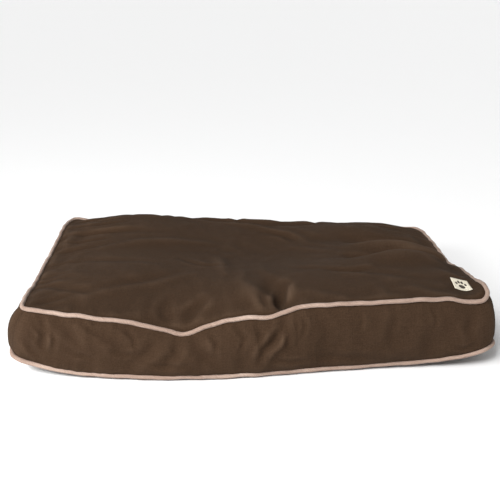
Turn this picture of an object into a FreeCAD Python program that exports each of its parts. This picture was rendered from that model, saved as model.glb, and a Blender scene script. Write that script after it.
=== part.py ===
import FreeCAD, Part
import math
import os

# Pet cushion bed: a box-sided canvas cover with a piped seam round its top and its
# bottom, a zip along its rear side, and a loosely filled liner inside.
# Millimetres. The origin is the centre of the base, +Z is up, -Y is the front side
# and +Y the side with the zip. Each sub-part is one STEP file in parts/.

# ---- driving dimensions: the cover ----
SEAM_WIDTH = 890.0  # from the left seam to the right seam
SEAM_DEPTH = 680.0  # from the front seam to the rear seam
CORNER_RADIUS = 40.0
LOWER_SEAM_Z = 13.0
UPPER_SEAM_Z = 122.0
CROWN_RISE = 36.0  # how far the top swells above its seam
CROWN_GAP = 0.1  # a swollen sheet starts this far above what it is sewn to
SIDE_BULGE = 22.0  # how far a filled side swells past its seams
CANVAS = 1.0
SEAM_STAND = 4.0  # a side stands upright for this much next to a seam
HEM_RISE = 24.0  # width of the band in which the base curls up to its seam

# ---- driving dimensions: the piping ----
PIPING_RADIUS = 4.25
PIPING_CLOTH = 0.85
PIPING_CLEARANCE = 0.2  # from the tube to the cloth beside it
CORD_RADIUS = 3.3
ALLOWANCE_WIDTH = 12.0  # the flat flange that is sewn into the seam
ALLOWANCE_THICKNESS = 1.4

# ---- driving dimensions: the zip ----
ZIP_LENGTH = 760.0  # coil length between its stops
TAPE_WIDTH = 16.0
TAPE_THICKNESS = 0.6
TAPE_INNER_EDGE = 1.4  # from the zip's centre line to each tape
TAPE_OVERRUN = 16.0  # tape past each end of the coil
COIL_SLOT = 0.4  # from the centre line to each coil row
COIL_WIDTH = 2.6
COIL_HEIGHT = 2.0
STRIP_OPENING = 6.0  # from the centre line to each folded canvas edge
STRIP_FLAT = 20.0  # from the centre line to where the rear side starts to curve
STOP_LENGTH = 4.0

SLIDER_LENGTH = 12.0
SLIDER_WIDTH = 10.0
SLIDER_PLATE = 1.2
SLIDER_CLEARANCE = 0.3
SLIDER_LIP = 0.8
NECK_WIDTH = 0.5
NECK_LENGTH = 4.0
PIN_RADIUS = 0.6
PIN_HEIGHT = 1.1  # pin centre above the slider's outer plate
PIN_LENGTH = 6.4
PIN_CLEARANCE = 0.2
BRIDGE_WALL = 0.8
BRIDGE_WIDTH = 1.8
CHEEK_GAP = 2.8  # between the two arms of the pull tab
TAB_REACH = 3.4  # from the pin to the tab's solid part
TAB_LENGTH = 25.0
TAB_WIDTH = 7.6
TAB_THICKNESS = 1.2
TAB_HOLE_RADIUS = 1.9

# ---- driving dimensions: the label and the liner ----
LABEL_CENTRE = (402.0, -270.0)
LABEL_SIZE = (38.0, 42.0)
LABEL_TURN = -14.0
LABEL_THICKNESS = 0.7
LABEL_GAP = 0.05

LINER = 0.6
LINER_INSET = 15.0  # the liner's seams lie this far inside the cover's seams
LINER_BULGE = 6.0
LINER_CROWN = 37.5
LINER_GAP = 3.0
LINER_BASE_Z = 1.5
FILL_CLEARANCE = 0.5
FILL_CHAMFER = 20.0

# ---- derived sizes ----
HALF_WIDTH = SEAM_WIDTH / 2
HALF_DEPTH = SEAM_DEPTH / 2
PIPING_OFFSET = PIPING_RADIUS + PIPING_CLEARANCE
HALF_ALLOWANCE = ALLOWANCE_THICKNESS / 2
SIDE_LOW_Z = LOWER_SEAM_Z + HALF_ALLOWANCE
SIDE_HIGH_Z = UPPER_SEAM_Z - HALF_ALLOWANCE
TOP_EDGE_Z = UPPER_SEAM_Z + HALF_ALLOWANCE + CROWN_GAP
ZIP_Z = (SIDE_LOW_Z + SIDE_HIGH_Z) / 2
BRIDGE_TOP = PIN_HEIGHT + PIN_RADIUS + PIN_CLEARANCE + BRIDGE_WALL
COIL_TOP = COIL_HEIGHT - CANVAS  # above the canvas strips' outer face
SLIDER_STAND = COIL_TOP + SLIDER_CLEARANCE + SLIDER_PLATE + BRIDGE_TOP
REAR_BULGE = SIDE_BULGE - SLIDER_STAND
STRIP_OUT = HALF_DEPTH + REAR_BULGE  # y of the rear canvas strips' outer face
TAPE_OUT = STRIP_OUT - CANVAS
SLIDER_X = ZIP_LENGTH / 2 - SLIDER_LENGTH / 2 - SLIDER_CLEARANCE
PLATE_Y = TAPE_OUT + COIL_HEIGHT + SLIDER_CLEARANCE
PIN_Y = PLATE_Y + SLIDER_PLATE + PIN_HEIGHT

UP = FreeCAD.Vector(0, 0, 1)
ORIGIN = FreeCAD.Vector(0, 0, 0)
RIGHT, REAR, LEFT, FRONT = 0, 1, 2, 3  # a side's outward direction in quarter turns


# ---- sections: drawn in the XZ plane, with X the distance out from the seam ----
def point(out, z):
    return FreeCAD.Vector(out, 0, z)


def polygon(corners):
    """A closed section with straight edges."""
    points = [point(*corner) for corner in corners]
    return Part.Face(Part.makePolygon(points + points[:1]))


def thick_line(edges, thickness):
    """The section between a line of edges and its copy moved inwards."""
    outer = Part.Wire(edges)
    inner = outer.copy()
    inner.translate(point(-thickness, 0))
    starts = [wire.OrderedVertexes[0].Point for wire in (outer, inner)]
    ends = [wire.OrderedVertexes[-1].Point for wire in (outer, inner)]
    caps = [Part.makeLine(*starts), Part.makeLine(*ends)]
    return Part.Face(Part.Wire(Part.__sortEdges__(outer.Edges + inner.Edges + caps)))


def arc(start, middle, end):
    return Part.Arc(point(*start), point(*middle), point(*end)).toShape()


def swelling_side(low, high, bulge, stand, inset, thickness):
    """A side strip's section, upright at both seams and swollen between them."""
    base = (-inset, low + stand)
    top = (-inset, high - stand)
    edges = [arc(base, (bulge, (low + high) / 2), top)]
    if stand:
        edges.insert(0, Part.makeLine(point(-inset, low), point(*base)))
        edges.append(Part.makeLine(point(*top), point(-inset, high)))
    return thick_line(edges, thickness)


def zip_strip(seam_z, toward_zip):
    """A rear strip's section, from its seam to the folded edge beside the zip."""
    stand_z = seam_z + toward_zip * SEAM_STAND
    flat_z = ZIP_Z - toward_zip * STRIP_FLAT
    rise = abs(flat_z - stand_z)
    radius = (REAR_BULGE**2 + rise**2) / (2 * REAR_BULGE)
    half_turn = math.asin(rise / radius) / 2
    middle = (
        REAR_BULGE - radius + radius * math.cos(half_turn),
        flat_z - toward_zip * radius * math.sin(half_turn),
    )
    fold_z = ZIP_Z - toward_zip * STRIP_OPENING
    edges = [
        Part.makeLine(point(0, seam_z), point(0, stand_z)),
        arc((0, stand_z), middle, (REAR_BULGE, flat_z)),
        Part.makeLine(point(REAR_BULGE, flat_z), point(REAR_BULGE, fold_z)),
    ]
    return thick_line(edges, CANVAS)


def piping_cover(seam_z):
    """A folded tape's section: a tube round the cord and a flange into the seam."""
    tube = Part.makeCircle(PIPING_RADIUS, point(PIPING_OFFSET, seam_z), FreeCAD.Vector(0, 1, 0))
    hollow = Part.makeCircle(
        PIPING_RADIUS - PIPING_CLOTH, point(PIPING_OFFSET, seam_z), FreeCAD.Vector(0, 1, 0)
    )
    low, high = seam_z - HALF_ALLOWANCE, seam_z + HALF_ALLOWANCE
    reach = PIPING_CLEARANCE + PIPING_CLOTH / 2
    flange = polygon([(-ALLOWANCE_WIDTH, low), (reach, low), (reach, high), (-ALLOWANCE_WIDTH, high)])
    section = Part.Face(Part.Wire(tube)).fuse(flange).removeSplitter()
    return section.cut(Part.Face(Part.Wire(hollow))).Faces[0]


def piping_cord(seam_z):
    circle = Part.makeCircle(CORD_RADIUS, point(PIPING_OFFSET, seam_z), FreeCAD.Vector(0, 1, 0))
    return Part.Face(Part.Wire(circle))


# ---- sweeping a section round the cushion ----
def along_side(section, side):
    """The section run along one straight side, between its corners."""
    on_width = side in (FRONT, REAR)
    out = HALF_DEPTH if on_width else HALF_WIDTH
    length = (SEAM_WIDTH if on_width else SEAM_DEPTH) - 2 * CORNER_RADIUS
    face = section.copy()
    face.translate(FreeCAD.Vector(out, -length / 2, 0))
    run = face.extrude(FreeCAD.Vector(0, length, 0))
    run.rotate(ORIGIN, UP, 90 * side)
    return run


def round_corner(section, corner, start=0.0, sweep=90.0):
    """The section turned round a corner; corner 0 joins the right side to the rear."""
    face = section.copy()
    face.translate(FreeCAD.Vector(CORNER_RADIUS, 0, 0))
    face.rotate(ORIGIN, UP, 90 * corner + start)
    turned = face.revolve(ORIGIN, UP, sweep)
    x_sign = 1 if corner in (0, 3) else -1
    y_sign = 1 if corner in (0, 1) else -1
    centre_x = x_sign * (HALF_WIDTH - CORNER_RADIUS)
    centre_y = y_sign * (HALF_DEPTH - CORNER_RADIUS)
    turned.translate(FreeCAD.Vector(centre_x, centre_y, 0))
    return turned


def joined(solids):
    return solids[0].multiFuse(solids[1:]).removeSplitter()


def all_round(section):
    sides = [along_side(section, side) for side in range(4)]
    corners = [round_corner(section, corner) for corner in range(4)]
    return joined(sides + corners)


# ---- plan shapes ----
def block(x_low, x_high, y_low, y_high, z_low, z_high):
    corner = FreeCAD.Vector(x_low, y_low, z_low)
    return Part.makeBox(x_high - x_low, y_high - y_low, z_high - z_low, corner)


def rounded_prism(inset, z_low, z_high):
    """An upright block with the cushion's plan shape, inset from its seams."""
    half_x, half_y = HALF_WIDTH - inset, HALF_DEPTH - inset
    prism = block(-half_x, half_x, -half_y, half_y, z_low, z_high)
    upright = [e for e in prism.Edges if abs(e.tangentAt(e.FirstParameter).z) > 0.5]
    return prism.makeFillet(CORNER_RADIUS - inset, upright)


def crown_face(edge_z, rise, inset):
    """The swollen top surface: nearly flat in the middle and rounded down to its seam."""
    half_x, half_y = HALF_WIDTH - inset, HALF_DEPTH - inset
    steps = 16
    reach = 1.02
    ratios = [reach * (2 * i / steps - 1) for i in range(steps + 1)]
    grid = [
        [
            FreeCAD.Vector(half_x * a, half_y * b, edge_z + rise * (1 - a**4) * (1 - b**4))
            for b in ratios
        ]
        for a in ratios
    ]
    surface = Part.BSplineSurface()
    surface.interpolate(grid)
    return surface.toShape()


def crowned_sheet(edge_z, rise, inset, thickness):
    sheet = crown_face(edge_z, rise, inset).extrude(FreeCAD.Vector(0, 0, thickness))
    return sheet.common(rounded_prism(inset, 0, 2 * UPPER_SEAM_Z))


def tray(inset, base_z, rim_z, thickness):
    """A flat base whose border curls up to the seam round it."""
    flat_inset = ALLOWANCE_WIDTH + HEM_RISE
    run = flat_inset - inset
    rise = rim_z - base_z
    radius = (run**2 + rise**2) / (2 * rise)
    half_turn = math.asin(run / radius) / 2
    middle = (-flat_inset + radius * math.sin(half_turn), base_z + radius * (1 - math.cos(half_turn)))
    lower = arc((-flat_inset, base_z), middle, (-inset, rim_z))
    upper = lower.copy()
    upper.translate(point(0, thickness))
    caps = [
        Part.makeLine(point(-flat_inset, base_z), point(-flat_inset, base_z + thickness)),
        Part.makeLine(point(-inset, rim_z), point(-inset, rim_z + thickness)),
    ]
    border = Part.Face(Part.Wire(Part.__sortEdges__([lower, upper] + caps)))
    floor = rounded_prism(flat_inset, base_z, base_z + thickness)
    return joined([floor, all_round(border)])


# ---- the cover ----
def cover_panels():
    top = crowned_sheet(TOP_EDGE_Z, CROWN_RISE, 0, CANVAS)
    hem_top = LOWER_SEAM_Z - HALF_ALLOWANCE
    curled = tray(ALLOWANCE_WIDTH, 0, hem_top - CANVAS, CANVAS)
    hem = polygon(
        [
            (-ALLOWANCE_WIDTH, hem_top - CANVAS),
            (0, hem_top - CANVAS),
            (0, hem_top),
            (-ALLOWANCE_WIDTH, hem_top),
        ]
    )
    return {"top_panel": top, "bottom_panel": joined([curled, all_round(hem)])}


def side_strips():
    """Front, left and right strips, sewn together at 45 degrees on the front corners."""
    section = swelling_side(SIDE_LOW_Z, SIDE_HIGH_Z, SIDE_BULGE, SEAM_STAND, 0, CANVAS)
    half = 45.0
    front = [round_corner(section, 2, half, half), along_side(section, FRONT)]
    front.append(round_corner(section, 3, 0, half))
    left = [round_corner(section, 1), along_side(section, LEFT), round_corner(section, 2, 0, half)]
    right = [round_corner(section, 3, half, half), along_side(section, RIGHT)]
    right.append(round_corner(section, 0))
    return {
        "front_gusset": joined(front),
        "left_gusset": joined(left),
        "right_gusset": joined(right),
        "rear_gusset_upper": along_side(zip_strip(SIDE_HIGH_Z, -1), REAR),
        "rear_gusset_lower": along_side(zip_strip(SIDE_LOW_Z, 1), REAR),
    }


def piping():
    pieces = {}
    for name, seam_z in (("top", UPPER_SEAM_Z), ("bottom", LOWER_SEAM_Z)):
        pieces[name + "_piping_cover"] = all_round(piping_cover(seam_z))
        pieces[name + "_piping_cord"] = all_round(piping_cord(seam_z))
    return pieces


# ---- the zip ----
def zip_chain():
    """Two tapes, each with its coil row, and the stops at both ends."""
    half = ZIP_LENGTH / 2
    tape_end = half + TAPE_OVERRUN
    coil_out = TAPE_OUT + COIL_HEIGHT
    pieces = {}
    for name, sign in (("upper", 1), ("lower", -1)):
        tape_z = sorted(ZIP_Z + sign * z for z in (TAPE_INNER_EDGE, TAPE_WIDTH))
        coil_z = sorted(ZIP_Z + sign * z for z in (COIL_SLOT, COIL_SLOT + COIL_WIDTH))
        pieces["zip_tape_" + name] = block(-tape_end, tape_end, TAPE_OUT - TAPE_THICKNESS, TAPE_OUT, *tape_z)
        pieces["zip_coil_" + name] = block(-half, half, TAPE_OUT, coil_out, *coil_z)
    reach = COIL_SLOT + COIL_WIDTH
    pieces["zip_bottom_stop"] = block(
        -half - STOP_LENGTH, -half, TAPE_OUT, coil_out, ZIP_Z - reach, ZIP_Z + reach
    )
    tops = []
    for sign in (1, -1):
        stop_z = sorted(ZIP_Z + sign * z for z in (COIL_SLOT, reach))
        tops.append(block(half, half + STOP_LENGTH, TAPE_OUT, coil_out, *stop_z))
    pieces["zip_top_stops"] = Part.makeCompound(tops)
    return pieces


def zip_end_tabs():
    """Canvas patches that close the slot between the rear strips past the zip's ends."""
    start = ZIP_LENGTH / 2 + STOP_LENGTH + 1
    end = HALF_WIDTH - CORNER_RADIUS
    z_range = (ZIP_Z - STRIP_OPENING, ZIP_Z + STRIP_OPENING)
    return {
        "zip_end_tab_left": block(-end, -start, TAPE_OUT, STRIP_OUT, *z_range),
        "zip_end_tab_right": block(start, end, TAPE_OUT, STRIP_OUT, *z_range),
    }


def slider_body():
    """Two plates round the coil, joined by a neck, with lips and the pull tab's bridge."""
    half_length, half_width = SLIDER_LENGTH / 2, SLIDER_WIDTH / 2
    x_low, x_high = SLIDER_X - half_length, SLIDER_X + half_length
    z_low, z_high = ZIP_Z - half_width, ZIP_Z + half_width
    plate_top = PLATE_Y + SLIDER_PLATE
    inner_top = TAPE_OUT - TAPE_THICKNESS - SLIDER_CLEARANCE
    outer = block(x_low, x_high, PLATE_Y, plate_top, z_low, z_high)
    inner = block(x_low, x_high, inner_top - SLIDER_PLATE, inner_top, z_low, z_high)
    half_neck = NECK_WIDTH / 2
    neck = block(x_high - NECK_LENGTH, x_high, inner_top, PLATE_Y, ZIP_Z - half_neck, ZIP_Z + half_neck)
    lip_y = TAPE_OUT + SLIDER_CLEARANCE
    lips = [
        block(x_low, x_high, lip_y, PLATE_Y, z_low, z_low + SLIDER_LIP),
        block(x_low, x_high, lip_y, PLATE_Y, z_high - SLIDER_LIP, z_high),
    ]
    bridge_radius = PIN_RADIUS + PIN_CLEARANCE + BRIDGE_WALL
    low_z = ZIP_Z - BRIDGE_WIDTH / 2
    centre = FreeCAD.Vector(SLIDER_X, PIN_Y, low_z)
    crest = Part.makeCylinder(bridge_radius, BRIDGE_WIDTH, centre, UP)
    legs = block(
        SLIDER_X - bridge_radius, SLIDER_X + bridge_radius, plate_top, PIN_Y, low_z, low_z + BRIDGE_WIDTH
    )
    eye = Part.makeCylinder(PIN_RADIUS + PIN_CLEARANCE, BRIDGE_WIDTH, centre, UP)
    return joined([outer, inner, neck, crest, legs] + lips).cut(eye)


def pull_tab():
    """A flat tab on a cross pin; it lies back along the closed zip."""
    half_pin = PIN_LENGTH / 2
    pin = Part.makeCylinder(PIN_RADIUS, PIN_LENGTH, FreeCAD.Vector(SLIDER_X, PIN_Y, ZIP_Z - half_pin), UP)
    low_y, high_y = PIN_Y - TAB_THICKNESS / 2, PIN_Y + TAB_THICKNESS / 2
    arms = []
    for sign in (1, -1):
        arm_z = sorted(ZIP_Z + sign * z for z in (CHEEK_GAP / 2, half_pin))
        arms.append(block(SLIDER_X - TAB_REACH - 1, SLIDER_X + PIN_RADIUS, low_y, high_y, *arm_z))
    half_tab = TAB_WIDTH / 2
    blade = block(
        SLIDER_X - TAB_LENGTH, SLIDER_X - TAB_REACH, low_y, high_y, ZIP_Z - half_tab, ZIP_Z + half_tab
    )
    ends = [e for e in blade.Edges if abs(e.tangentAt(e.FirstParameter).y) > 0.5]
    blade = blade.makeFillet(TAB_WIDTH / 4, ends)
    hole_x = SLIDER_X - TAB_LENGTH + 2 * TAB_HOLE_RADIUS
    hole_base = FreeCAD.Vector(hole_x, low_y, ZIP_Z)
    hole = Part.makeCylinder(TAB_HOLE_RADIUS, TAB_THICKNESS, hole_base, FreeCAD.Vector(0, 1, 0))
    return joined([pin, blade] + arms).cut(hole)


# ---- the label, the liner and its filling ----
def sewn_label():
    width, depth = LABEL_SIZE
    edge_z = TOP_EDGE_Z + CANVAS + LABEL_GAP
    sheet = crown_face(edge_z, CROWN_RISE, 0).extrude(FreeCAD.Vector(0, 0, LABEL_THICKNESS))
    cutter = block(-width / 2, width / 2, -depth / 2, depth / 2, 0, 2 * UPPER_SEAM_Z)
    cutter.rotate(ORIGIN, UP, LABEL_TURN)
    cutter.translate(FreeCAD.Vector(*LABEL_CENTRE, 0))
    return sheet.common(cutter)


def liner_and_fill():
    low = LOWER_SEAM_Z + LINER_GAP
    high = UPPER_SEAM_Z - LINER_GAP
    boxing = swelling_side(low, high, LINER_BULGE, 0, LINER_INSET, LINER)
    fill_inset = LINER_INSET + LINER + 2 * FILL_CLEARANCE
    fill_low = LINER_BASE_Z + LINER + FILL_CLEARANCE
    block_of_fill = rounded_prism(fill_inset, fill_low, 2 * UPPER_SEAM_Z)
    under = [e for e in block_of_fill.Edges if e.BoundBox.ZMax < fill_low + 1]
    block_of_fill = block_of_fill.makeChamfer(FILL_CHAMFER, under)
    roof = crown_face(high - 2 * FILL_CLEARANCE, LINER_CROWN, LINER_INSET)
    under_roof = roof.extrude(FreeCAD.Vector(0, 0, -2 * UPPER_SEAM_Z))
    return {
        "insert_liner_top": crowned_sheet(high + CROWN_GAP, LINER_CROWN, LINER_INSET, LINER),
        "insert_liner_bottom": tray(LINER_INSET, LINER_BASE_Z, low - LINER, LINER),
        "insert_liner_boxing": all_round(boxing),
        "insert_fill": block_of_fill.common(under_roof),
    }


def main():
    pieces = {}
    pieces.update(cover_panels())
    pieces.update(side_strips())
    pieces.update(piping())
    pieces.update(zip_chain())
    pieces.update(zip_end_tabs())
    pieces["zip_slider_body"] = slider_body()
    pieces["zip_pull_tab"] = pull_tab()
    pieces["label"] = sewn_label()
    pieces.update(liner_and_fill())

    os.makedirs("parts", exist_ok=True)
    for name, shape in pieces.items():
        shape.exportStep("parts/" + name + ".step")
        box = shape.BoundBox
        print(
            f"{name:22s} valid {shape.isValid()} solids {len(shape.Solids)} "
            f"volume {shape.Volume / 1000:10.3f} cm3  "
            f"x {box.XMin:.1f} {box.XMax:.1f}  y {box.YMin:.1f} {box.YMax:.1f}  "
            f"z {box.ZMin:.1f} {box.ZMax:.1f}"
        )
    print(f"slide axis: x; pin at x {SLIDER_X:.2f} y {PIN_Y:.2f} z {ZIP_Z:.2f}")
    print(f"slide travel: {ZIP_LENGTH - SLIDER_LENGTH - 2 * SLIDER_CLEARANCE:.1f}")


main()
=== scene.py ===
# %% [markdown]
# # A pet cushion bed
# A box-sided canvas cover with piped seams, filled with loose fibre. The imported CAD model
# is loaded first and kept as the frame. Then each soft piece is made where its CAD solid
# lies, as cloth that has really been draped, and the zip gets its teeth.

# %% Load the frame
import math

import bmesh
import bpy
import numpy as np
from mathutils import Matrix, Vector
from mathutils.bvhtree import BVHTree


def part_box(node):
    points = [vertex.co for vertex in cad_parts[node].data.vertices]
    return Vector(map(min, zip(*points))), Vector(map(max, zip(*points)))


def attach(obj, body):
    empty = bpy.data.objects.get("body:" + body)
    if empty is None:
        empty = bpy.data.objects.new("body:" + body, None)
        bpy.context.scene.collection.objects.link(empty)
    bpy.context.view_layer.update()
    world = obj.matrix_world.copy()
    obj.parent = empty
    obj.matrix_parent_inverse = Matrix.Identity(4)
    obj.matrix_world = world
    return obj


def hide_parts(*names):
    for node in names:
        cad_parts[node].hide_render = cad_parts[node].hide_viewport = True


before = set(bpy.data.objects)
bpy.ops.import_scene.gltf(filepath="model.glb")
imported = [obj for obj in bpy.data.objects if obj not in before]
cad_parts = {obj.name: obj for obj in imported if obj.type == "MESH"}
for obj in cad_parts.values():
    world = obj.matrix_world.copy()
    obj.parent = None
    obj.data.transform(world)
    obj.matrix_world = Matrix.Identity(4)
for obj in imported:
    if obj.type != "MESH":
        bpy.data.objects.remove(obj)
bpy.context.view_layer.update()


def deselect_all():
    bpy.ops.object.select_all(action="DESELECT")


def direction_to(turn, height):
    """The direction to a place at a level turn from the front and a height above the floor."""
    level = math.cos(height)
    return Vector((math.sin(turn) * level, -math.cos(turn) * level, math.sin(height)))


def edit(on):
    bpy.ops.object.mode_set(mode="EDIT" if on else "OBJECT")


def look_along(thing, direction):
    thing.rotation_euler = direction.to_track_quat("-Z", "Y").to_euler()


def join(piece, node):
    """Fixes a piece to the frame, in place of a CAD node."""
    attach(piece, "root")
    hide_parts(node)


deselect_all()

# %% [markdown]
# ## The camera
# It stands a little to the left of the middle and looks down on the cushion at a flat
# angle, as someone does who kneels a couple of metres away. A longish lens keeps the far
# corners from shrinking too much.

# %% The camera
VIEW_TURN, VIEW_HEIGHT = math.radians(-2.0), math.radians(17.0)
VIEW_DISTANCE = 2.01
VIEW_TARGET = Vector((0.001, 0.0, 0.138))
VIEW_LENS = 65.2
bpy.ops.object.camera_add()
camera = bpy.context.object
camera.name = "camera"
away = direction_to(VIEW_TURN, VIEW_HEIGHT)
camera.location = VIEW_TARGET + away * VIEW_DISTANCE
look_along(camera, -away)
camera.data.lens = VIEW_LENS
bpy.context.scene.camera = camera
print("camera at", [round(x, 3) for x in camera.location])

# %% [markdown]
# ## The two seams
# Everything on a cushion hangs between its seams, so they come first. Each is a closed
# line through a few given points, in metres: where the seam rises over the
# filling, where it sags, and how the corners round off. A smooth curve is passed through
# the points, and then every side is divided into equal steps, so that the top, the sides
# and the base can share their edge points.

# %% The seam lines
UPPER_SEAM = {
    "front": [
        (-0.429, -0.331, 0.133), (-0.410, -0.337, 0.130), (-0.363, -0.341, 0.124),
        (-0.290, -0.348, 0.116), (-0.233, -0.352, 0.109), (-0.180, -0.356, 0.098),
        (-0.133, -0.358, 0.087), (-0.092, -0.359, 0.102), (-0.050, -0.361, 0.115),
        (-0.012, -0.361, 0.119), (0.024, -0.361, 0.120), (0.048, -0.361, 0.128),
        (0.080, -0.360, 0.138), (0.136, -0.358, 0.142), (0.220, -0.354, 0.143),
        (0.306, -0.347, 0.145), (0.363, -0.341, 0.143), (0.404, -0.337, 0.136),
        (0.426, -0.333, 0.137),
    ],
    "right": [
        (0.437, -0.318, 0.146), (0.438, -0.292, 0.152), (0.442, -0.240, 0.141),
        (0.446, -0.180, 0.128), (0.448, -0.100, 0.118), (0.446, -0.040, 0.107),
        (0.446, 0.010, 0.099), (0.447, 0.060, 0.097), (0.448, 0.140, 0.098),
        (0.447, 0.230, 0.097), (0.445, 0.295, 0.095),
    ],
    "back": [
        (0.436, 0.326, 0.091), (0.405, 0.338, 0.089), (0.300, 0.341, 0.092),
        (0.150, 0.342, 0.098), (0.000, 0.342, 0.105), (-0.150, 0.342, 0.112),
        (-0.300, 0.341, 0.114), (-0.400, 0.338, 0.118),
    ],
    "left": [
        (-0.432, 0.328, 0.124), (-0.443, 0.300, 0.124), (-0.445, 0.250, 0.126),
        (-0.446, 0.157, 0.120), (-0.446, 0.060, 0.116), (-0.444, -0.045, 0.117),
        (-0.440, -0.152, 0.119), (-0.437, -0.240, 0.129), (-0.434, -0.306, 0.133),
    ],
}
LOWER_SEAM = {
    "front": [
        (-0.452, -0.338, 0.040), (-0.430, -0.346, 0.031), (-0.386, -0.352, 0.020),
        (-0.339, -0.357, 0.013), (-0.290, -0.363, 0.010), (-0.198, -0.372, 0.008),
        (-0.105, -0.374, 0.008), (-0.012, -0.367, 0.008), (0.083, -0.353, 0.008),
        (0.180, -0.341, 0.009), (0.278, -0.334, 0.012), (0.354, -0.336, 0.019),
        (0.409, -0.341, 0.031), (0.436, -0.340, 0.040),
    ],
    "right": [
        (0.452, -0.326, 0.046), (0.457, -0.285, 0.042), (0.453, -0.180, 0.022),
        (0.450, -0.050, 0.012), (0.450, 0.100, 0.010), (0.451, 0.230, 0.014),
        (0.450, 0.300, 0.024),
    ],
    "back": [
        (0.440, 0.331, 0.029), (0.400, 0.342, 0.023), (0.300, 0.345, 0.014),
        (0.100, 0.347, 0.010), (-0.100, 0.347, 0.010), (-0.300, 0.345, 0.014),
        (-0.400, 0.342, 0.023),
    ],
    "left": [
        (-0.440, 0.331, 0.029), (-0.451, 0.300, 0.025), (-0.452, 0.200, 0.014),
        (-0.452, 0.050, 0.010), (-0.454, -0.100, 0.012), (-0.458, -0.220, 0.025),
        (-0.461, -0.300, 0.041),
    ],
}
SIDES = ("front", "right", "back", "left")
STEPS_X, STEPS_Y, STEPS_UP = 90, 68, 14
STEPS = {"front": STEPS_X, "right": STEPS_Y, "back": STEPS_X, "left": STEPS_Y}
FINE = 24
WANDER = 0.00022
UPPER_SEED, LOWER_SEED = 3, 4


def steps_of(line):
    """The length of each step of a line of points."""
    return np.linalg.norm(np.diff(line, axis=0), axis=1)


def run_along(line):
    """How far along the line each of its points is."""
    return np.r_[0, np.cumsum(steps_of(line))]


def smooth_closed(points):
    """A closed curve through the points; point number i is at row FINE * i of the result."""
    here = np.array(points, float)
    there = np.roll(here, -1, 0)
    gap = np.linalg.norm(there - here, axis=1)[:, None]
    slope = (there - np.roll(here, 1, 0)) / (gap + np.roll(gap, 1, 0))
    s = (np.arange(FINE) / FINE)[None, :, None]
    leave, arrive = slope * gap, np.roll(slope, -1, 0) * gap
    line = (
        (2 * s**3 - 3 * s**2 + 1) * here[:, None]
        + (s**3 - 2 * s**2 + s) * leave[:, None]
        + (3 * s**2 - 2 * s**3) * there[:, None]
        + (s**3 - s**2) * arrive[:, None]
    )
    return line.reshape(-1, 3)


def evenly(line, steps):
    """The line again as steps equal steps."""
    along = run_along(line)
    at = np.linspace(0, along[-1], steps + 1)
    return np.stack([np.interp(at, along, line[:, k]) for k in range(3)], axis=1)


def hand_sewn(curve, seed):
    """The line with small sideways and up and down wanderings, as a sewn seam has."""
    draw = np.random.default_rng(seed)
    turn = run_along(curve) / steps_of(curve).sum() * 2 * math.pi
    for axis in range(3):
        for _ in range(9):
            cycles = draw.integers(24, 90)
            size = WANDER * (40 / cycles) ** 0.5
            curve[:, axis] += size * np.sin(cycles * turn + draw.uniform(0, 2 * math.pi))
    return curve


def seam_sides(seam, seed):
    """Each side's equally spaced points, from its first corner to the next side's."""
    points = [p for side in SIDES for p in seam[side]]
    curve = smooth_closed(points)
    curve = hand_sewn(np.r_[curve, curve[:1]], seed)
    sides, start = {}, 0
    for side in SIDES:
        end = start + len(seam[side]) * FINE
        sides[side] = evenly(curve[start : end + 1], STEPS[side])
        start = end
    return sides


upper = seam_sides(UPPER_SEAM, UPPER_SEED)
lower = seam_sides(LOWER_SEAM, LOWER_SEED)
for name, sides in (("upper", upper), ("lower", lower)):
    length = sum(steps_of(line).sum() for line in sides.values())
    print(f"{name} seam {length:.3f} m round")

# %% [markdown]
# ## The shape of the filling
# The filling is lumpy. It has been pressed down in the middle where the pet lies, it has
# moved out to the front right corner, and two soft ridges run from the hollow to the
# right side. The top and the base are first stretched over their seams like a soap film,
# which carries every rise of a seam a little way inwards and then lets it fade. The crown,
# the hollow and the ridges are added to the film as smooth bumps.

# %% A film stretched over a seam
def patch(sides):
    """A grid of points, STEPS_X by STEPS_Y, spread evenly between four sides."""
    front, right = sides["front"], sides["right"]
    back, left = sides["back"][::-1], sides["left"][::-1]
    a = np.linspace(0, 1, STEPS_X + 1)[:, None, None]
    b = np.linspace(0, 1, STEPS_Y + 1)[None, :, None]
    ruled = (1 - b) * front[:, None] + b * back[:, None]
    ruled = ruled + (1 - a) * left[None] + a * right[None]
    corners = (1 - a) * (1 - b) * front[0] + a * (1 - b) * front[-1]
    corners = corners + (1 - a) * b * back[0] + a * b * back[-1]
    return ruled - corners


FILM_STEP, FILM_ROUNDS = 0.01, 900


def relax(grid, fade=None):
    """Heights inside the grid as a film's; with fade, they die away over that distance."""
    z = grid[:, :, 2].copy()
    hold = 4 + (FILM_STEP / fade) ** 2 if fade else 4
    if fade:
        z[1:-1, 1:-1] = 0
    for _ in range(FILM_ROUNDS):
        z[1:-1, 1:-1] = (z[2:, 1:-1] + z[:-2, 1:-1] + z[1:-1, 2:] + z[1:-1, :-2]) / hold
    return z


def bump(x, y, place, size, turn=0.0):
    """A smooth round hill of height 1, with its two half widths along its turned axes."""
    turn = math.radians(turn)
    dx, dy = x - place[0], y - place[1]
    along = dx * math.cos(turn) + dy * math.sin(turn)
    across = dy * math.cos(turn) - dx * math.sin(turn)
    return np.exp(-((along / size[0]) ** 2) - (across / size[1]) ** 2)


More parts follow.
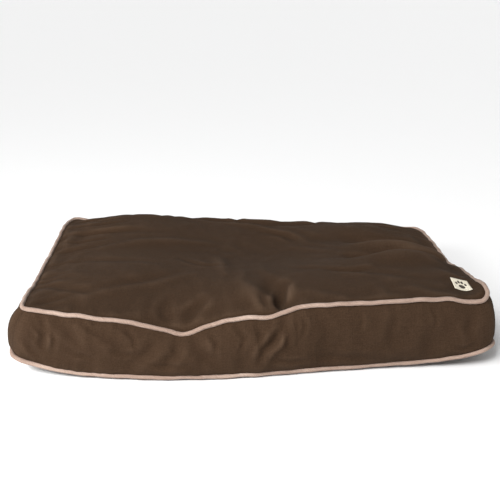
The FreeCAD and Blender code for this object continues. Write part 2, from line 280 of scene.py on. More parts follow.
# %% The top of the filling
CROWN = 0.040
FLOOR_GAP = 0.0012
BASE_CURL = 0.030
LUMPS = [  # rise, place, half widths, turn in degrees
    (0.012, (-0.27, 0.22), (0.16, 0.11), 0),
    (-0.026, (0.02, 0.03), (0.19, 0.17), 8),
    (0.026, (0.338, -0.112), (0.092, 0.046), 4),
    (-0.009, (0.430, -0.125), (0.030, 0.060), 0),
    (-0.029, (0.345, -0.042), (0.12, 0.029), 6),
    (0.019, (0.34, 0.028), (0.10, 0.028), 2),
    (-0.022, (0.33, 0.094), (0.11, 0.028), -5),
    (0.010, (0.28, 0.190), (0.14, 0.060), 0),
    (0.008, (0.33, 0.268), (0.13, 0.045), 0),
    (0.008, (-0.28, 0.275), (0.12, 0.045), 0),
    (0.006, (0.02, 0.275), (0.16, 0.045), 0),
    (-0.006, (0.33, 0.225), (0.10, 0.016), -4),
    (-0.014, (0.045, -0.300), (0.020, 0.070), 14),
    (0.008, (-0.01, -0.290), (0.030, 0.060), 14),
    (0.006, (-0.30, -0.16), (0.11, 0.10), 30),
    (-0.006, (-0.17, -0.25), (0.07, 0.08), 0),
    (0.008, (0.375, -0.215), (0.050, 0.040), 0),
    (-0.020, (0.422, -0.285), (0.036, 0.036), -20),
    (-0.006, (-0.36, 0.265), (0.080, 0.014), 8),
    (-0.006, (-0.33, 0.140), (0.110, 0.016), -6),
    (-0.005, (-0.37, 0.040), (0.070, 0.013), 10),
    (-0.005, (-0.31, -0.070), (0.100, 0.016), -14),
    (-0.006, (-0.22, -0.200), (0.080, 0.015), 28),
    (-0.005, (-0.36, -0.240), (0.060, 0.014), -30),
    (0.005, (-0.22, 0.060), (0.090, 0.020), 12),
    (-0.006, (0.20, -0.200), (0.090, 0.018), -22),
    (-0.005, (0.13, 0.250), (0.110, 0.016), 6),
    (-0.005, (-0.08, 0.270), (0.090, 0.015), -10),
]


def top_grid(sides):
    grid = patch(sides)
    x, y = grid[:, :, 0], grid[:, :, 1]
    a = np.linspace(-1, 1, STEPS_X + 1)[:, None]
    b = np.linspace(-1, 1, STEPS_Y + 1)[None, :]
    inside = (1 - a**4) * (1 - b**4)
    lumps = sum(rise * bump(x, y, place, size, turn) for rise, place, size, turn in LUMPS)
    edge = np.clip(inside * 4, 0, 1)
    grid[:, :, 2] = relax(grid) + CROWN * inside + lumps * edge
    return grid


def base_grid(sides):
    """The base: flat on the floor, and curling up to its seam over the last few centimetres."""
    grid = patch(sides)
    lift = relax(grid, fade=BASE_CURL)
    grid[:, :, 2] = np.maximum(lift, FLOOR_GAP)
    return grid


top, base = top_grid(upper), base_grid(lower)
print(f"top from {top[:, :, 2].min():.3f} to {top[:, :, 2].max():.3f} m")

# %% [markdown]
# ## The sides and the zip's band
# Each side strip swells between its two seams. Along the rear the strip is split by the
# zip, which the CAD model keeps straight and upright so that its slider can run. There the
# rows of points are put on the zip's own lines: the folded canvas edges 6 mm above and
# below the zip's centre, and flat cloth behind them.

# %% The rows of the side strips
zip_low, zip_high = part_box("rear_gusset_lower"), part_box("rear_gusset_upper")
BAND_Y = zip_high[1].y
ZIP_Z = (zip_low[1].z + zip_high[0].z) / 2
FOLD = zip_high[0].z - ZIP_Z
BAND_END = zip_high[1].x
FLAT = 0.014
TURN_IN = 4
REAR_BULGE = 0.008
BAND_ROWS = {5: FLAT, 6: FOLD, 7: 0.0, 8: -FOLD, 9: -FLAT}
SWELL = {"front": 0.022, "right": 0.018, "back": 0.014, "left": 0.023}
around = 2 * (STEPS_X + STEPS_Y)


def ring(sides):
    """The points of all four sides in one closed row, each corner once."""
    return np.concatenate([sides[side][:-1] for side in SIDES])


def outward(line):
    """The level direction out of the cushion at each point of a closed row."""
    run = np.roll(line, -1, 0) - np.roll(line, 1, 0)
    out = np.stack([run[:, 1], -run[:, 0], 0 * run[:, 0]], axis=1)
    return out / np.linalg.norm(out, axis=1)[:, None]


def swell_amount():
    """How far each column swells: its side's amount, less towards the corners."""
    parts = []
    for side in SIDES:
        s = np.arange(STEPS[side]) / STEPS[side]
        parts.append(SWELL[side] * (0.62 + 0.38 * np.sin(math.pi * s) ** 0.5))
    return np.concatenate(parts)


def side_rows():
    """Every row of the side strips, from the upper seam down to the lower one."""
    high, low = ring(upper), ring(lower)
    out = outward((high + low) / 2)
    amount = swell_amount()[:, None]
    rows = []
    for row in range(STEPS_UP + 1):
        t = row / STEPS_UP
        swell = (math.sin(math.pi * t) ** 0.75 + 0.10 * math.sin(2 * math.pi * t)) * amount
        rows.append((1 - t) * high + t * low + out * swell)
    rows = np.array(rows)
    first = STEPS_X + STEPS_Y
    half = STEPS_X / 2
    for m in range(STEPS_X + 1):
        column = (first + m) % around
        x = BAND_END * (half - m) / (half - TURN_IN)
        inside = min(m, STEPS_X - m)
        weight = min(1.0, inside / TURN_IN)
        weight = weight * weight * (3 - 2 * weight)
        for row, rise in BAND_ROWS.items():
            on_band = np.array([x, BAND_Y, ZIP_Z + rise])
            rows[row, column] = weight * on_band + (1 - weight) * rows[row, column]
        for start, end in ((0, 5), (9, STEPS_UP)):
            a, b = rows[start, column], rows[end, column]
            for row in range(start + 1, end):
                t = (row - start) / (end - start)
                bulge = math.sin(math.pi * t) * REAR_BULGE * out[column]
                straight = (1 - t) * a + t * b + bulge
                rows[row, column] = weight * straight + (1 - weight) * rows[row, column]
    return rows


rows = side_rows()
print(f"side strips from y {rows[:, :, 1].min():.3f} to {rows[:, :, 1].max():.3f} m")

# %% [markdown]
# ## One closed skin
# The top, the sides and the base are sewn into one closed mesh of quads, about 10 mm
# each, because the cloth has to hang together while it settles. Its points are numbered
# in a plain order, so the panels can be cut out of the settled skin again afterwards.

# %% Number the points and join them
TOP_COUNT = (STEPS_X + 1) * (STEPS_Y + 1)


def grid_index(i, j):
    return i * (STEPS_Y + 1) + j


def edge_path():
    """The grid places along the edge of the top, in the order of the side columns."""
    path = [(i, 0) for i in range(STEPS_X)]
    path += [(STEPS_X, j) for j in range(STEPS_Y)]
    path += [(i, STEPS_Y) for i in range(STEPS_X, 0, -1)]
    path += [(0, j) for j in range(STEPS_Y, 0, -1)]
    return path


EDGE = edge_path()


def side_index(row, column):
    """A side point's number; the first row is the top's edge and the last the base's."""
    column %= around
    if row == 0:
        return grid_index(*EDGE[column])
    if row == STEPS_UP:
        return TOP_COUNT + (STEPS_UP - 1) * around + grid_index(*EDGE[column])
    return TOP_COUNT + (row - 1) * around + column


def base_index(i, j):
    return TOP_COUNT + (STEPS_UP - 1) * around + grid_index(i, j)


skin = np.concatenate([top.reshape(-1, 3), rows[1:-1].reshape(-1, 3), base.reshape(-1, 3)])
cells = [(i, j) for i in range(STEPS_X) for j in range(STEPS_Y)]
top_faces = [
    (grid_index(i, j), grid_index(i + 1, j), grid_index(i + 1, j + 1), grid_index(i, j + 1))
    for i, j in cells
]
side_faces = [
    (side_index(r + 1, c), side_index(r + 1, c + 1), side_index(r, c + 1), side_index(r, c))
    for r in range(STEPS_UP)
    for c in range(around)
]
base_faces = [
    (base_index(i, j), base_index(i, j + 1), base_index(i + 1, j + 1), base_index(i + 1, j))
    for i, j in cells
]
faces = top_faces + side_faces + base_faces
print(len(skin), "points and", len(faces), "faces in the skin")


# %% Helpers that make and read meshes
def new_piece(name, points, polygons):
    mesh = bpy.data.meshes.new(name)
    mesh.from_pydata([tuple(p) for p in points], [], polygons)
    mesh.validate()
    piece = bpy.data.objects.new(name, mesh)
    bpy.context.scene.collection.objects.link(piece)
    return piece


def read_points(piece, what):
    flat = np.empty(len(piece.data.vertices) * 3)
    piece.data.vertices.foreach_get(what, flat)
    return flat.reshape(-1, 3)


def points_of(piece):
    return read_points(piece, "co")


def normals_of(piece):
    return read_points(piece, "normal")


def move_points(piece, points):
    piece.data.vertices.foreach_set("co", points.ravel())
    piece.data.update()


def averaging(piece):
    """A function that gives every point of a piece the mean of its neighbours' values."""
    ends = np.empty(len(piece.data.edges) * 2, int)
    piece.data.edges.foreach_get("vertices", ends)
    ends = ends.reshape(-1, 2)
    count = np.bincount(ends.ravel(), minlength=len(piece.data.vertices))[:, None]

    def average(values):
        total = np.zeros_like(values)
        np.add.at(total, ends[:, 0], values[ends[:, 1]])
        np.add.at(total, ends[:, 1], values[ends[:, 0]])
        return total / count
    return average


def take_modifiers(piece):
    """Applies every modifier, in order."""
    deselect_all()
    piece.select_set(True)
    bpy.context.view_layer.objects.active = piece
    for modifier in list(piece.modifiers):
        bpy.ops.object.modifier_apply(modifier=modifier.name)
    piece.select_set(False)


# %% [markdown]
# ## The body of filling under the cover
# The same skin, moved in by a few millimetres, is the bag of fibre. While the cover
# settles it is the thing the cloth lies on, and afterwards it becomes the filled liner.

# %% The filled bag
LINER_GAP, BAG_LIFT = 0.0045, 0.002
bag = new_piece("insert_bag", skin, faces)
bag_points = points_of(bag) - normals_of(bag) * LINER_GAP
bag_points[:, 2] = np.maximum(bag_points[:, 2], FLOOR_GAP + BAG_LIFT)
move_points(bag, bag_points)

# %% [markdown]
# ## The cover settles
# The cover is a little larger than the filling, as a washed canvas cover is. The seams,
# the base and the band of the zip are held, the cloth gets some slack, and gravity and a
# light pull press it on the filling, so that the slack gathers in folds.

# %% Where the cloth is held and how much slack it has
def cover_pins():
    held = [side_index(0, c) for c in range(around)]
    held += [base_index(i, j) for i in range(STEPS_X + 1) for j in range(STEPS_Y + 1)]
    first = STEPS_X + STEPS_Y
    for m in range(TURN_IN, STEPS_X - TURN_IN + 1):
        held += [side_index(row, first + m) for row in BAND_ROWS]
    return sorted(set(held))


def settle(piece, frames):
    """Runs the cloth and leaves its result in the mesh."""
    scene = bpy.context.scene
    scene.frame_start, scene.frame_end = 1, frames
    for number in range(1, frames + 1):
        scene.frame_set(number)
    take_modifiers(piece)
    scene.frame_set(1)


cover = new_piece("cover", skin, faces)
held = cover.vertex_groups.new(name="held")
fixed = cover_pins()
held.add(fixed, 1.0, "REPLACE")
RIPPLE_SEED = 7
rng = np.random.default_rng(RIPPLE_SEED)
x, y = skin[:, 0], skin[:, 1]
ripple = sum(
    np.sin(x * rng.uniform(20, 90) + y * rng.uniform(-90, 90) + rng.uniform(0, 6))
    for _ in range(12)
)
RIPPLE, START_GAP = 0.0004, 0.0012
start = skin + normals_of(cover) * (RIPPLE * ripple + START_GAP)[:, None]
start[fixed] = skin[fixed]
move_points(cover, start)

SIM_FRAMES = 36
CANVAS_CLOTH = {
    "quality": 6, "mass": 0.35, "air_damping": 3.0,
    "tension_stiffness": 18, "compression_stiffness": 18, "shear_stiffness": 6,
    "bending_stiffness": 5.0, "tension_damping": 12, "compression_damping": 12,
    "shear_damping": 12, "bending_damping": 1.0, "vertex_group_mass": "held",
    "pin_stiffness": 1.0, "shrink_min": -0.012, "use_pressure": True,
    "uniform_pressure_force": -0.6,
}
CANVAS_CONTACT = {
    "use_collision": True, "distance_min": 0.002, "collision_quality": 2,
    "use_self_collision": False,
}
deselect_all()
bag.select_set(True)
bpy.context.view_layer.objects.active = bag
bpy.ops.object.modifier_add(type="COLLISION")
bag.collision.thickness_outer = 0.001
bag.collision.cloth_friction = 4.0
bag.collision.damping = 0.6
cloth = cover.modifiers.new("cloth", "CLOTH")
for setting, value in CANVAS_CLOTH.items():
    setattr(cloth.settings, setting, value)
cloth.settings.effector_weights.gravity = 0.6
for setting, value in CANVAS_CONTACT.items():
    setattr(cloth.collision_settings, setting, value)
settle(cover, SIM_FRAMES)
bag.modifiers.clear()
moved = np.linalg.norm(points_of(cover) - start, axis=1)
print(f"the cloth moved up to {moved.max() * 1000:.1f} mm")

# %% [markdown]
# ## Cutting the panels
# A cover is sewn from flat panels, so the settled skin is cut along its seams again: the
# top, the base, a strip for the front and one for each end, which also turns the rear
# corner, and two strips along the rear with the zip between them. Each panel keeps a flat
# map of its cloth in metres, and the weave is drawn on that map, so its threads follow
# the cloth through every fold.

# %% A panel from a grid of the skin's points
SPACING_X, SPACING_Y, SPACING_UP = 0.914 / STEPS_X, 0.686 / STEPS_Y, 0.127 / STEPS_UP
CLOTH = 0.0009
settled = points_of(cover)
free = np.ones(len(settled), bool)
free[fixed] = False
average = averaging(cover)
IRONING = 6
for stroke in [0.5, -0.52] * IRONING:
    settled[free] += stroke * (average(settled) - settled)[free]
whole_normals = normals_of(cover)
CORNER_COLUMNS = (0, STEPS_X)
CORNER_DEPTH = 0.0017
for column in CORNER_COLUMNS:
    for row in range(1, STEPS_UP):
        number = side_index(row, column)
        settled[number] -= CORNER_DEPTH * whole_normals[number]


def cut_panel(name, numbers, spacing, points):
    """A piece from rows of point numbers; the rows run so that its faces look outwards."""
    used = {}
    for row in numbers:
        for number in row:
            used.setdefault(number, len(used))
    quads, flat = [], []
    for r in range(len(numbers) - 1):
        for c in range(len(numbers[0]) - 1):
            corners = ((r, c), (r, c + 1), (r + 1, c + 1), (r + 1, c))
            quads.append([used[numbers[a][b]] for a, b in corners])
            flat += [(b * spacing[0], a * spacing[1]) for a, b in corners]
    piece = new_piece(name, points[list(used)], quads)
    cloth_map = piece.data.uv_layers.new(name="cloth")
    cloth_map.data.foreach_set("uv", np.array(flat).ravel())
    return piece


def side_numbers(first, last, top_row, bottom_row):
    """Rows of a side strip, from its lower edge up, between two columns."""
    columns = range(first, last + 1)
    upwards = range(bottom_row, top_row - 1, -1)
    return [[side_index(row, c) for c in columns] for row in upwards]


REAR_START = STEPS_X + STEPS_Y + TURN_IN
REAR_END = STEPS_X + STEPS_Y + STEPS_X - TURN_IN
SIDE_STEP = (SPACING_X, SPACING_UP)
top_numbers = [[grid_index(i, j) for i in range(STEPS_X + 1)] for j in range(STEPS_Y + 1)]
base_numbers = [[base_index(i, j) for j in range(STEPS_Y + 1)] for i in range(STEPS_X + 1)]
PANELS = {
    "top_panel": (top_numbers, (SPACING_X, SPACING_Y)),
    "bottom_panel": (base_numbers, (SPACING_Y, SPACING_X)),
    "front_gusset": (side_numbers(0, STEPS_X, 0, STEPS_UP), SIDE_STEP),
    "right_gusset": (side_numbers(STEPS_X, REAR_START, 0, STEPS_UP), SIDE_STEP),
    "left_gusset": (side_numbers(REAR_END, around, 0, STEPS_UP), SIDE_STEP),
    "rear_gusset_upper": (side_numbers(REAR_START, REAR_END, 0, 6), SIDE_STEP),
    "rear_gusset_lower": (side_numbers(REAR_START, REAR_END, 8, STEPS_UP), SIDE_STEP),
}
panels = {
    name: cut_panel(name + "_cloth", numbers, spacing, settled)
    for name, (numbers, spacing) in PANELS.items()
}
bpy.data.objects.remove(cover)
print("cut", ", ".join(panels))

# %% [markdown]
# ## Fine folds
# The draped cloth has its broad folds. A sewn seam also puckers the cloth beside it, the
# corner seams pull in, and a few sharp creases have been pressed into the canvas. These
# are narrower than the cloth's mesh could form, so each panel is subdivided, the side
# strips twice, and its points are then moved along their normals, as with a sculpting brush.

# %% Puckers beside the piping and creases along listed lines
def distances(points, line):
    """How far each point is from a line of points, and where along it the nearest place is."""
    best = np.full(len(points), np.inf)
    place = np.zeros(len(points))
    along = run_along(line)
    for n in range(len(line) - 1):
        a, run = line[n], line[n + 1] - line[n]
        t = np.clip((points - a) @ run / max(run @ run, 1e-12), 0, 1)
        far = np.linalg.norm(points - a - t[:, None] * run, axis=1)
        closer = far < best
        best[closer] = far[closer]
        place[closer] = (along[n] + t * math.sqrt(run @ run))[closer]
    return best, place / along[-1]


def crease(points, line, depth, width):
    """A pressed-in line with a low ridge on both sides, fading out at its ends."""
    far, place = distances(points, np.array(line, float))
    fade = np.sin(math.pi * np.clip(place, 0.04, 0.96)) ** 0.6
    valley = np.exp(-((far / width) ** 2))
    ridges = 0.45 * np.exp(-(((far - 2.1 * width) / (0.9 * width)) ** 2))
    return depth * fade * (ridges - valley)


CREASE_GAIN = 1.35


def pressed(points, normals, creases, plane, facing):
    """The lift of all creases, whose lines are drawn in a plane, on the faces that look one way."""
    flat = points[:, plane]
    lift = sum((crease(flat, *c) for c in creases), np.zeros(len(points)))
    return CREASE_GAIN * lift * np.clip(2.5 * (normals @ np.array(facing)), 0, 1)


TOP_PLANE, TOP_FACING = [0, 1], (0.0, 0.0, 1.0)
FRONT_PLANE, FRONT_FACING = [0, 2], (0.0, -1.0, 0.0)


def wave_row(place, seed, waves, low, high):
    """An uneven wave along a row, made of several sines."""
    draw = np.random.default_rng(seed)
    total = np.zeros_like(place)
    for _ in range(waves):
        pitch, shift = draw.uniform(low, high), draw.uniform(0, 2 * math.pi)
        total += np.sin(2 * math.pi * place / pitch + shift)
    return total / math.sqrt(waves)


PUCKERS = [  # side, height, reach, shortest and longest pitch, seed
    ("front", 0.0009, 0.020, 0.018, 0.050, 11),
    ("right", 0.0011, 0.030, 0.018, 0.050, 12),
    ("back", 0.0009, 0.026, 0.018, 0.050, 13),
    ("left", 0.0020, 0.050, 0.020, 0.045, 14),
]
TOP_CREASES = [  # line (x, y), depth, width
    ([(0.049, -0.352), (0.044, -0.325), (0.052, -0.290), (0.060, -0.255)], 0.0055, 0.0085),
    ([(0.030, -0.352), (0.018, -0.330), (0.010, -0.300)], 0.0022, 0.007),
    ([(0.436, -0.030), (0.385, -0.050), (0.300, -0.056), (0.215, -0.040)], 0.0036, 0.010),
    ([(0.440, 0.075), (0.390, 0.088), (0.310, 0.094), (0.230, 0.086)], 0.0030, 0.010),
    ([(0.440, 0.000), (0.405, 0.000), (0.340, -0.012)], 0.0025, 0.006),
    ([(0.436, 0.045), (0.400, 0.052), (0.350, 0.050)], 0.0020, 0.006),
    ([(0.440, 0.180), (0.395, 0.195), (0.330, 0.192)], 0.0022, 0.008),
    ([(0.440, 0.245), (0.380, 0.258), (0.300, 0.252)], 0.0022, 0.008),
    ([(0.438, -0.120), (0.415, -0.128), (0.380, -0.126)], 0.0016, 0.006),
    ([(-0.430, 0.215), (-0.370, 0.198), (-0.290, 0.200)], 0.0022, 0.007),
    ([(-0.430, 0.160), (-0.360, 0.142), (-0.260, 0.148)], 0.0022, 0.008),
    ([(-0.430, 0.100), (-0.385, 0.088), (-0.320, 0.092)], 0.0018, 0.006),
    ([(-0.425, 0.275), (-0.360, 0.252), (-0.280, 0.254)], 0.0022, 0.007),
    ([(-0.432, 0.020), (-0.390, 0.012), (-0.340, 0.020)], 0.0016, 0.006),
    ([(-0.432, -0.060), (-0.395, -0.056), (-0.355, -0.070)], 0.0016, 0.006),
    ([(-0.420, -0.318), (-0.385, -0.290), (-0.350, -0.270)], 0.0020, 0.007),
    ([(-0.200, 0.325), (-0.190, 0.290), (-0.165, 0.255)], 0.0018, 0.008),
    ([(-0.020, 0.325), (-0.025, 0.290), (-0.010, 0.250)], 0.0018, 0.008),
    ([(0.160, 0.325), (0.165, 0.290), (0.190, 0.260)], 0.0018, 0.008),
    ([(-0.130, -0.345), (-0.120, -0.315), (-0.095, -0.285)], 0.0030, 0.010),
    ([(-0.165, -0.345), (-0.175, -0.310), (-0.165, -0.270)], 0.0022, 0.009),
    ([(0.150, -0.180), (0.190, -0.195), (0.250, -0.190)], 0.0018, 0.008),
    ([(-0.150, -0.050), (-0.110, -0.090), (-0.060, -0.110)], 0.0024, 0.009),
    ([(0.120, 0.100), (0.090, 0.150), (0.040, 0.180)], 0.0024, 0.009),
]
FRONT_CREASES = [  # line (x, z), depth, width
    ([(0.049, 0.122), (0.046, 0.100), (0.034, 0.082), (0.014, 0.062), (0.004, 0.036)],
     0.0050, 0.0070),
    ([(0.052, 0.120), (0.058, 0.096), (0.056, 0.064)], 0.0026, 0.006),
    ([(0.000, 0.108), (0.008, 0.088), (0.004, 0.066)], 0.0018, 0.006),
    ([(-0.398, 0.118), (-0.392, 0.092), (-0.398, 0.058)], 0.0026, 0.006),
    ([(-0.430, 0.078), (-0.418, 0.060), (-0.400, 0.040)], 0.0022, 0.006),
    ([(-0.366, 0.112), (-0.340, 0.088), (-0.322, 0.058)], 0.0022, 0.008),
    ([(-0.300, 0.100), (-0.262, 0.078), (-0.240, 0.050)], 0.0022, 0.009),
    ([(-0.180, 0.084), (-0.200, 0.060), (-0.235, 0.036)], 0.0026, 0.009),
    ([(-0.118, 0.080), (-0.100, 0.058), (-0.070, 0.036)], 0.0030, 0.010),
    ([(-0.145, 0.076), (-0.150, 0.056), (-0.172, 0.034)], 0.0024, 0.008),
    ([(0.110, 0.042), (0.170, 0.034), (0.240, 0.030)], 0.0016, 0.008),
    ([(0.120, 0.118), (0.132, 0.090), (0.128, 0.060)], 0.0014, 0.009),
    ([(0.262, 0.122), (0.250, 0.092), (0.256, 0.060)], 0.0013, 0.009),
    ([(0.408, 0.120), (0.400, 0.090), (0.408, 0.060)], 0.0016, 0.008),
    ([(-0.412, 0.116), (-0.404, 0.098), (-0.388, 0.084)], 0.0014, 0.004),
    ([(-0.384, 0.100), (-0.372, 0.080), (-0.376, 0.056)], 0.0013, 0.004),
    ([(-0.352, 0.066), (-0.332, 0.052), (-0.300, 0.046)], 0.0013, 0.0045),
    ([(-0.322, 0.110), (-0.306, 0.096), (-0.284, 0.090)], 0.0012, 0.004),
    ([(-0.270, 0.062), (-0.244, 0.054), (-0.214, 0.056)], 0.0012, 0.0045),
    ([(-0.244, 0.100), (-0.226, 0.084), (-0.222, 0.064)], 0.0012, 0.004),
    ([(-0.204, 0.038), (-0.172, 0.032), (-0.130, 0.034)], 0.0014, 0.0045),
    ([(-0.090, 0.094), (-0.074, 0.076), (-0.078, 0.054)], 0.0013, 0.0045),
    ([(-0.036, 0.104), (-0.022, 0.086), (-0.030, 0.060)], 0.0014, 0.0045),
    ([(0.024, 0.044), (0.060, 0.034), (0.100, 0.036)], 0.0014, 0.0045),
    ([(0.084, 0.126), (0.090, 0.106), (0.084, 0.086)], 0.0012, 0.004),
    ([(0.190, 0.128), (0.196, 0.110), (0.190, 0.094)], 0.0009, 0.004),
    ([(0.330, 0.128), (0.338, 0.108), (0.332, 0.090)], 0.0009, 0.004),
    ([(0.370, 0.052), (0.392, 0.046), (0.418, 0.052)], 0.0012, 0.0045),
]


SEAM_HOLD = 0.012
# width of the band of painted shade beside each seam
SEAM_SHADE = 0.0055
CREST_GAIN = 1500.0
CREST_ROUNDS = 4


def refine(piece, levels):
    smooth = piece.modifiers.new("smooth", "SUBSURF")
    smooth.levels = smooth.render_levels = levels
    smooth.boundary_smooth = "PRESERVE_CORNERS"
    take_modifiers(piece)


def sculpt(piece, creases, seams):
    """Moves a panel's points along their normals; the seam itself stays where it is."""
    points, normals = points_of(piece), normals_of(piece)
    lift = pressed(points, normals, *creases) if creases else np.zeros(len(points))
    nearest = np.full(len(points), np.inf)
    for sides in seams:
        for side, height, reach, low, high, seed in PUCKERS:
            line = sides[side]
            far, place = distances(points, line)
            length = steps_of(line).sum()
            waves = wave_row(place * length, seed, 5, low, high)
            patchy = 0.55 + 0.45 * wave_row(place * length, seed + 50, 3, 0.15, 0.5)
            lift += height * np.clip(patchy, 0, 1.4) * waves * np.exp(-far / reach)
            nearest = np.minimum(nearest, far)
    hold = np.clip(nearest / SEAM_HOLD, 0, 1)
    points += normals * (lift * hold * hold * (3 - 2 * hold))[:, None]
    move_points(piece, points)


def thicken(piece, thickness):
    """Gives a sheet its thickness, inwards from the face that shows."""
    wall = piece.modifiers.new("wall", "SOLIDIFY")
    wall.thickness, wall.offset = thickness, -1
    take_modifiers(piece)
    piece.data.shade_smooth()


def mark_fading_and_shade(piece, seams):
    """Stores lighter colour on the fold crests, as worn dye and painted highlight, and darker
    colour in the creases and beside the seams, as painted shade.
    """
    points, normals = points_of(piece), normals_of(piece)
    average = averaging(piece)
    crest = ((points - average(points)) * normals).sum(axis=1)[:, None]
    for _ in range(CREST_ROUNDS):
        crest = average(crest)
    near = np.full(len(points), np.inf)
    for sides in seams:
        for line in sides.values():
            near = np.minimum(near, distances(points, line[::2])[0])
    # painted shade: a narrow band right beside each seam is darkened
    edge = np.exp(-((near / SEAM_SHADE) ** 2))
    # fold crests come out lighter, as worn dye and painted highlight; creases come out darker, as
    # painted shade
    fading_and_shade = np.clip(0.5 + crest[:, 0] * CREST_GAIN, 0, 1) * (1 - edge)
    attribute = piece.data.attributes.new("fading_and_shade", "FLOAT", "POINT")
    attribute.data.foreach_set("value", fading_and_shade)


TOP_PRESSED = (TOP_CREASES, TOP_PLANE, TOP_FACING)
FRONT_PRESSED = (FRONT_CREASES, FRONT_PLANE, FRONT_FACING)
outer_points, outer_faces = [], []
for name, piece in panels.items():
    refine(piece, 2 if "gusset" in name else 1)
    if name == "top_panel":
        sculpt(piece, TOP_PRESSED, [upper])
    elif name == "front_gusset":
        sculpt(piece, FRONT_PRESSED, [upper, lower])
    elif name in ("left_gusset", "right_gusset"):
        sculpt(piece, None, [upper, lower])
    mark_fading_and_shade(piece, [lower] if name == "bottom_panel" else [upper, lower])
    first = len(outer_points)
    outer_points.extend(points_of(piece))
    outer_faces += [[first + v for v in face.vertices] for face in piece.data.polygons]
    thicken(piece, CLOTH)
cover_tree = BVHTree.FromPolygons([Vector(p) for p in outer_points], outer_faces)
top_surface = BVHTree.FromObject(panels["top_panel"], bpy.context.evaluated_depsgraph_get())
print("faces", {name: len(piece.data.polygons) for name, piece in panels.items()})


# %% The panels join the frame
FLAT_SIZES = {
    "top_panel": (0.914, 0.686), "bottom_panel": (0.914, 0.686),
    "front_gusset": (0.914, 0.127), "right_gusset": (0.730, 0.127),
    "left_gusset": (0.730, 0.127), "rear_gusset_upper": (0.810, 0.054),
    "rear_gusset_lower": (0.810, 0.054),
}
for name, flat in FLAT_SIZES.items():
    join(panels[name], name)

# %% [markdown]
# ## The liner and its fibre
# Inside is a separate bag of thin cotton, sewn from a top, a base and a side band, and
# the fibre it holds. They are cut from the same settled shape, one inside the other.

# %% The liner's three panels and the fibre
BAG_WALL = 0.0006
FIBRE_GAP = 0.0006
LINER_LIFT = 0.0028
LINER_CLEARANCE = 0.0042
LINER_REACH = 0.012
ZIP_CLEARANCE = 0.009
ZIP_MARGIN = 0.05
PUSHES = 3
bag_shape = points_of(bag)


def clear_cover(group):
    """Moves some points of the bag in together, until they are clear of the cover."""
    middle = Vector(bag_shape[group].mean(axis=0))
    place, normal, _, _ = cover_tree.find_nearest(middle)
    short = LINER_CLEARANCE - (place - middle).dot(normal)
    if 0 < short < LINER_REACH:
        bag_shape[group] -= np.array(normal) * short


for column in range(STEPS_X + STEPS_Y, 2 * STEPS_X + STEPS_Y + 1):
    for row in range(1, STEPS_UP):
        number = side_index(row, column)
        bag_shape[number, 1] = min(bag_shape[number, 1], BAND_Y - ZIP_CLEARANCE)
for _ in range(PUSHES):
    for number in range(len(bag_shape)):
        clear_cover([number])
ahead_of_zip = [
    list(face) for face in faces if bag_shape[list(face), 1].max() < BAND_Y - ZIP_MARGIN
]
for _ in range(PUSHES):
    for face in ahead_of_zip:
        clear_cover(face)
bag_shape[:, 2] = np.maximum(bag_shape[:, 2], FLOOR_GAP + LINER_LIFT)
move_points(bag, bag_shape)
liner_rows = side_numbers(0, around, 0, STEPS_UP)
LINER_PANELS = {
    "insert_liner_top": (top_numbers, (SPACING_X, SPACING_Y), (0.900, 0.675)),
    "insert_liner_bottom": (base_numbers, (SPACING_Y, SPACING_X), (0.900, 0.675)),
    "insert_liner_boxing": (liner_rows, SIDE_STEP, (3.15, 0.115)),
}
for name, (numbers, spacing, flat) in LINER_PANELS.items():
    piece = cut_panel(name + "_cloth", numbers, spacing, bag_shape)
    thicken(piece, BAG_WALL)
    join(piece, name)
bag.name = "insert_fill_pad"
move_points(bag, bag_shape - normals_of(bag) * (BAG_WALL + FIBRE_GAP))
bag.data.shade_smooth()
join(bag, "insert_fill")
print("liner and fibre in place")

# %% [markdown]
# ## The piping
# Piping is a cord wrapped in a strip of cloth that was cut on the slant, so that it bends
# round the corners, and its flange is caught in the seam. A tube is run along each seam
# just outside the panels' edges. The wrapped cloth is never quite even: it swells and
# narrows a little and shows faint slanting ridges, which are real height in the tube.

# %% A tube along a closed line
PIPING_RADIUS = 0.00425
PIPING_WALL = 0.0008
PIPING_SINK = 0.0006
TUBE_STEP = 0.0026
TUBE_SIDES, CORE_SIDES = 16, 10
WRAP_ROUND = 0.027


def closed_line(line, spacing):
    """A closed row of points again, smoothed and equally spaced."""
    curve = smooth_closed(line)
    curve = np.r_[curve, curve[:1]]
    length = steps_of(curve).sum()
    return evenly(curve, round(length / spacing))[:-1], length


def tube(name, line, radius_at, sides):
    """A closed tube with a map of its cloth; radius_at gives the radius at (along, turn)."""
    count = len(line)
    run = np.roll(line, -1, 0) - np.roll(line, 1, 0)
    run /= np.linalg.norm(run, axis=1)[:, None]
    out = outward(line)
    over = np.cross(run, out)
    step = np.linalg.norm(np.roll(line, -1, 0) - line, axis=1)
    along = np.r_[0, np.cumsum(step)[:-1]]
    turns = 2 * math.pi * np.arange(sides) / sides
    radius = radius_at(along[:, None], turns[None, :])[:, :, None]
    reach = out[:, None] * np.cos(turns)[None, :, None]
    reach = reach + over[:, None] * np.sin(turns)[None, :, None]
    points = (line[:, None] + radius * reach).reshape(-1, 3)
    quads, flat = [], []
    for n in range(count):
        for k in range(sides):
            ahead, turn = (n + 1) % count, (k + 1) % sides
            here, there = n * sides, ahead * sides
            quads.append((here + k, there + k, there + turn, here + turn))
            u0, u1 = along[n], along[n] + step[n]
            v0, v1 = k / sides * WRAP_ROUND, (k + 1) / sides * WRAP_ROUND
            flat += [(u0, v0), (u1, v0), (u1, v1), (u0, v1)]
    piece = new_piece(name, points, quads)
    piece.data.uv_layers.new(name="cloth").data.foreach_set("uv", np.array(flat).ravel())
    bpy.context.view_layer.update()
    bm = bmesh.new()
    bm.from_mesh(piece.data)
    bmesh.ops.recalc_face_normals(bm, faces=bm.faces)
    bm.to_mesh(piece.data)
    bm.free()
    piece.data.shade_smooth()
    return piece


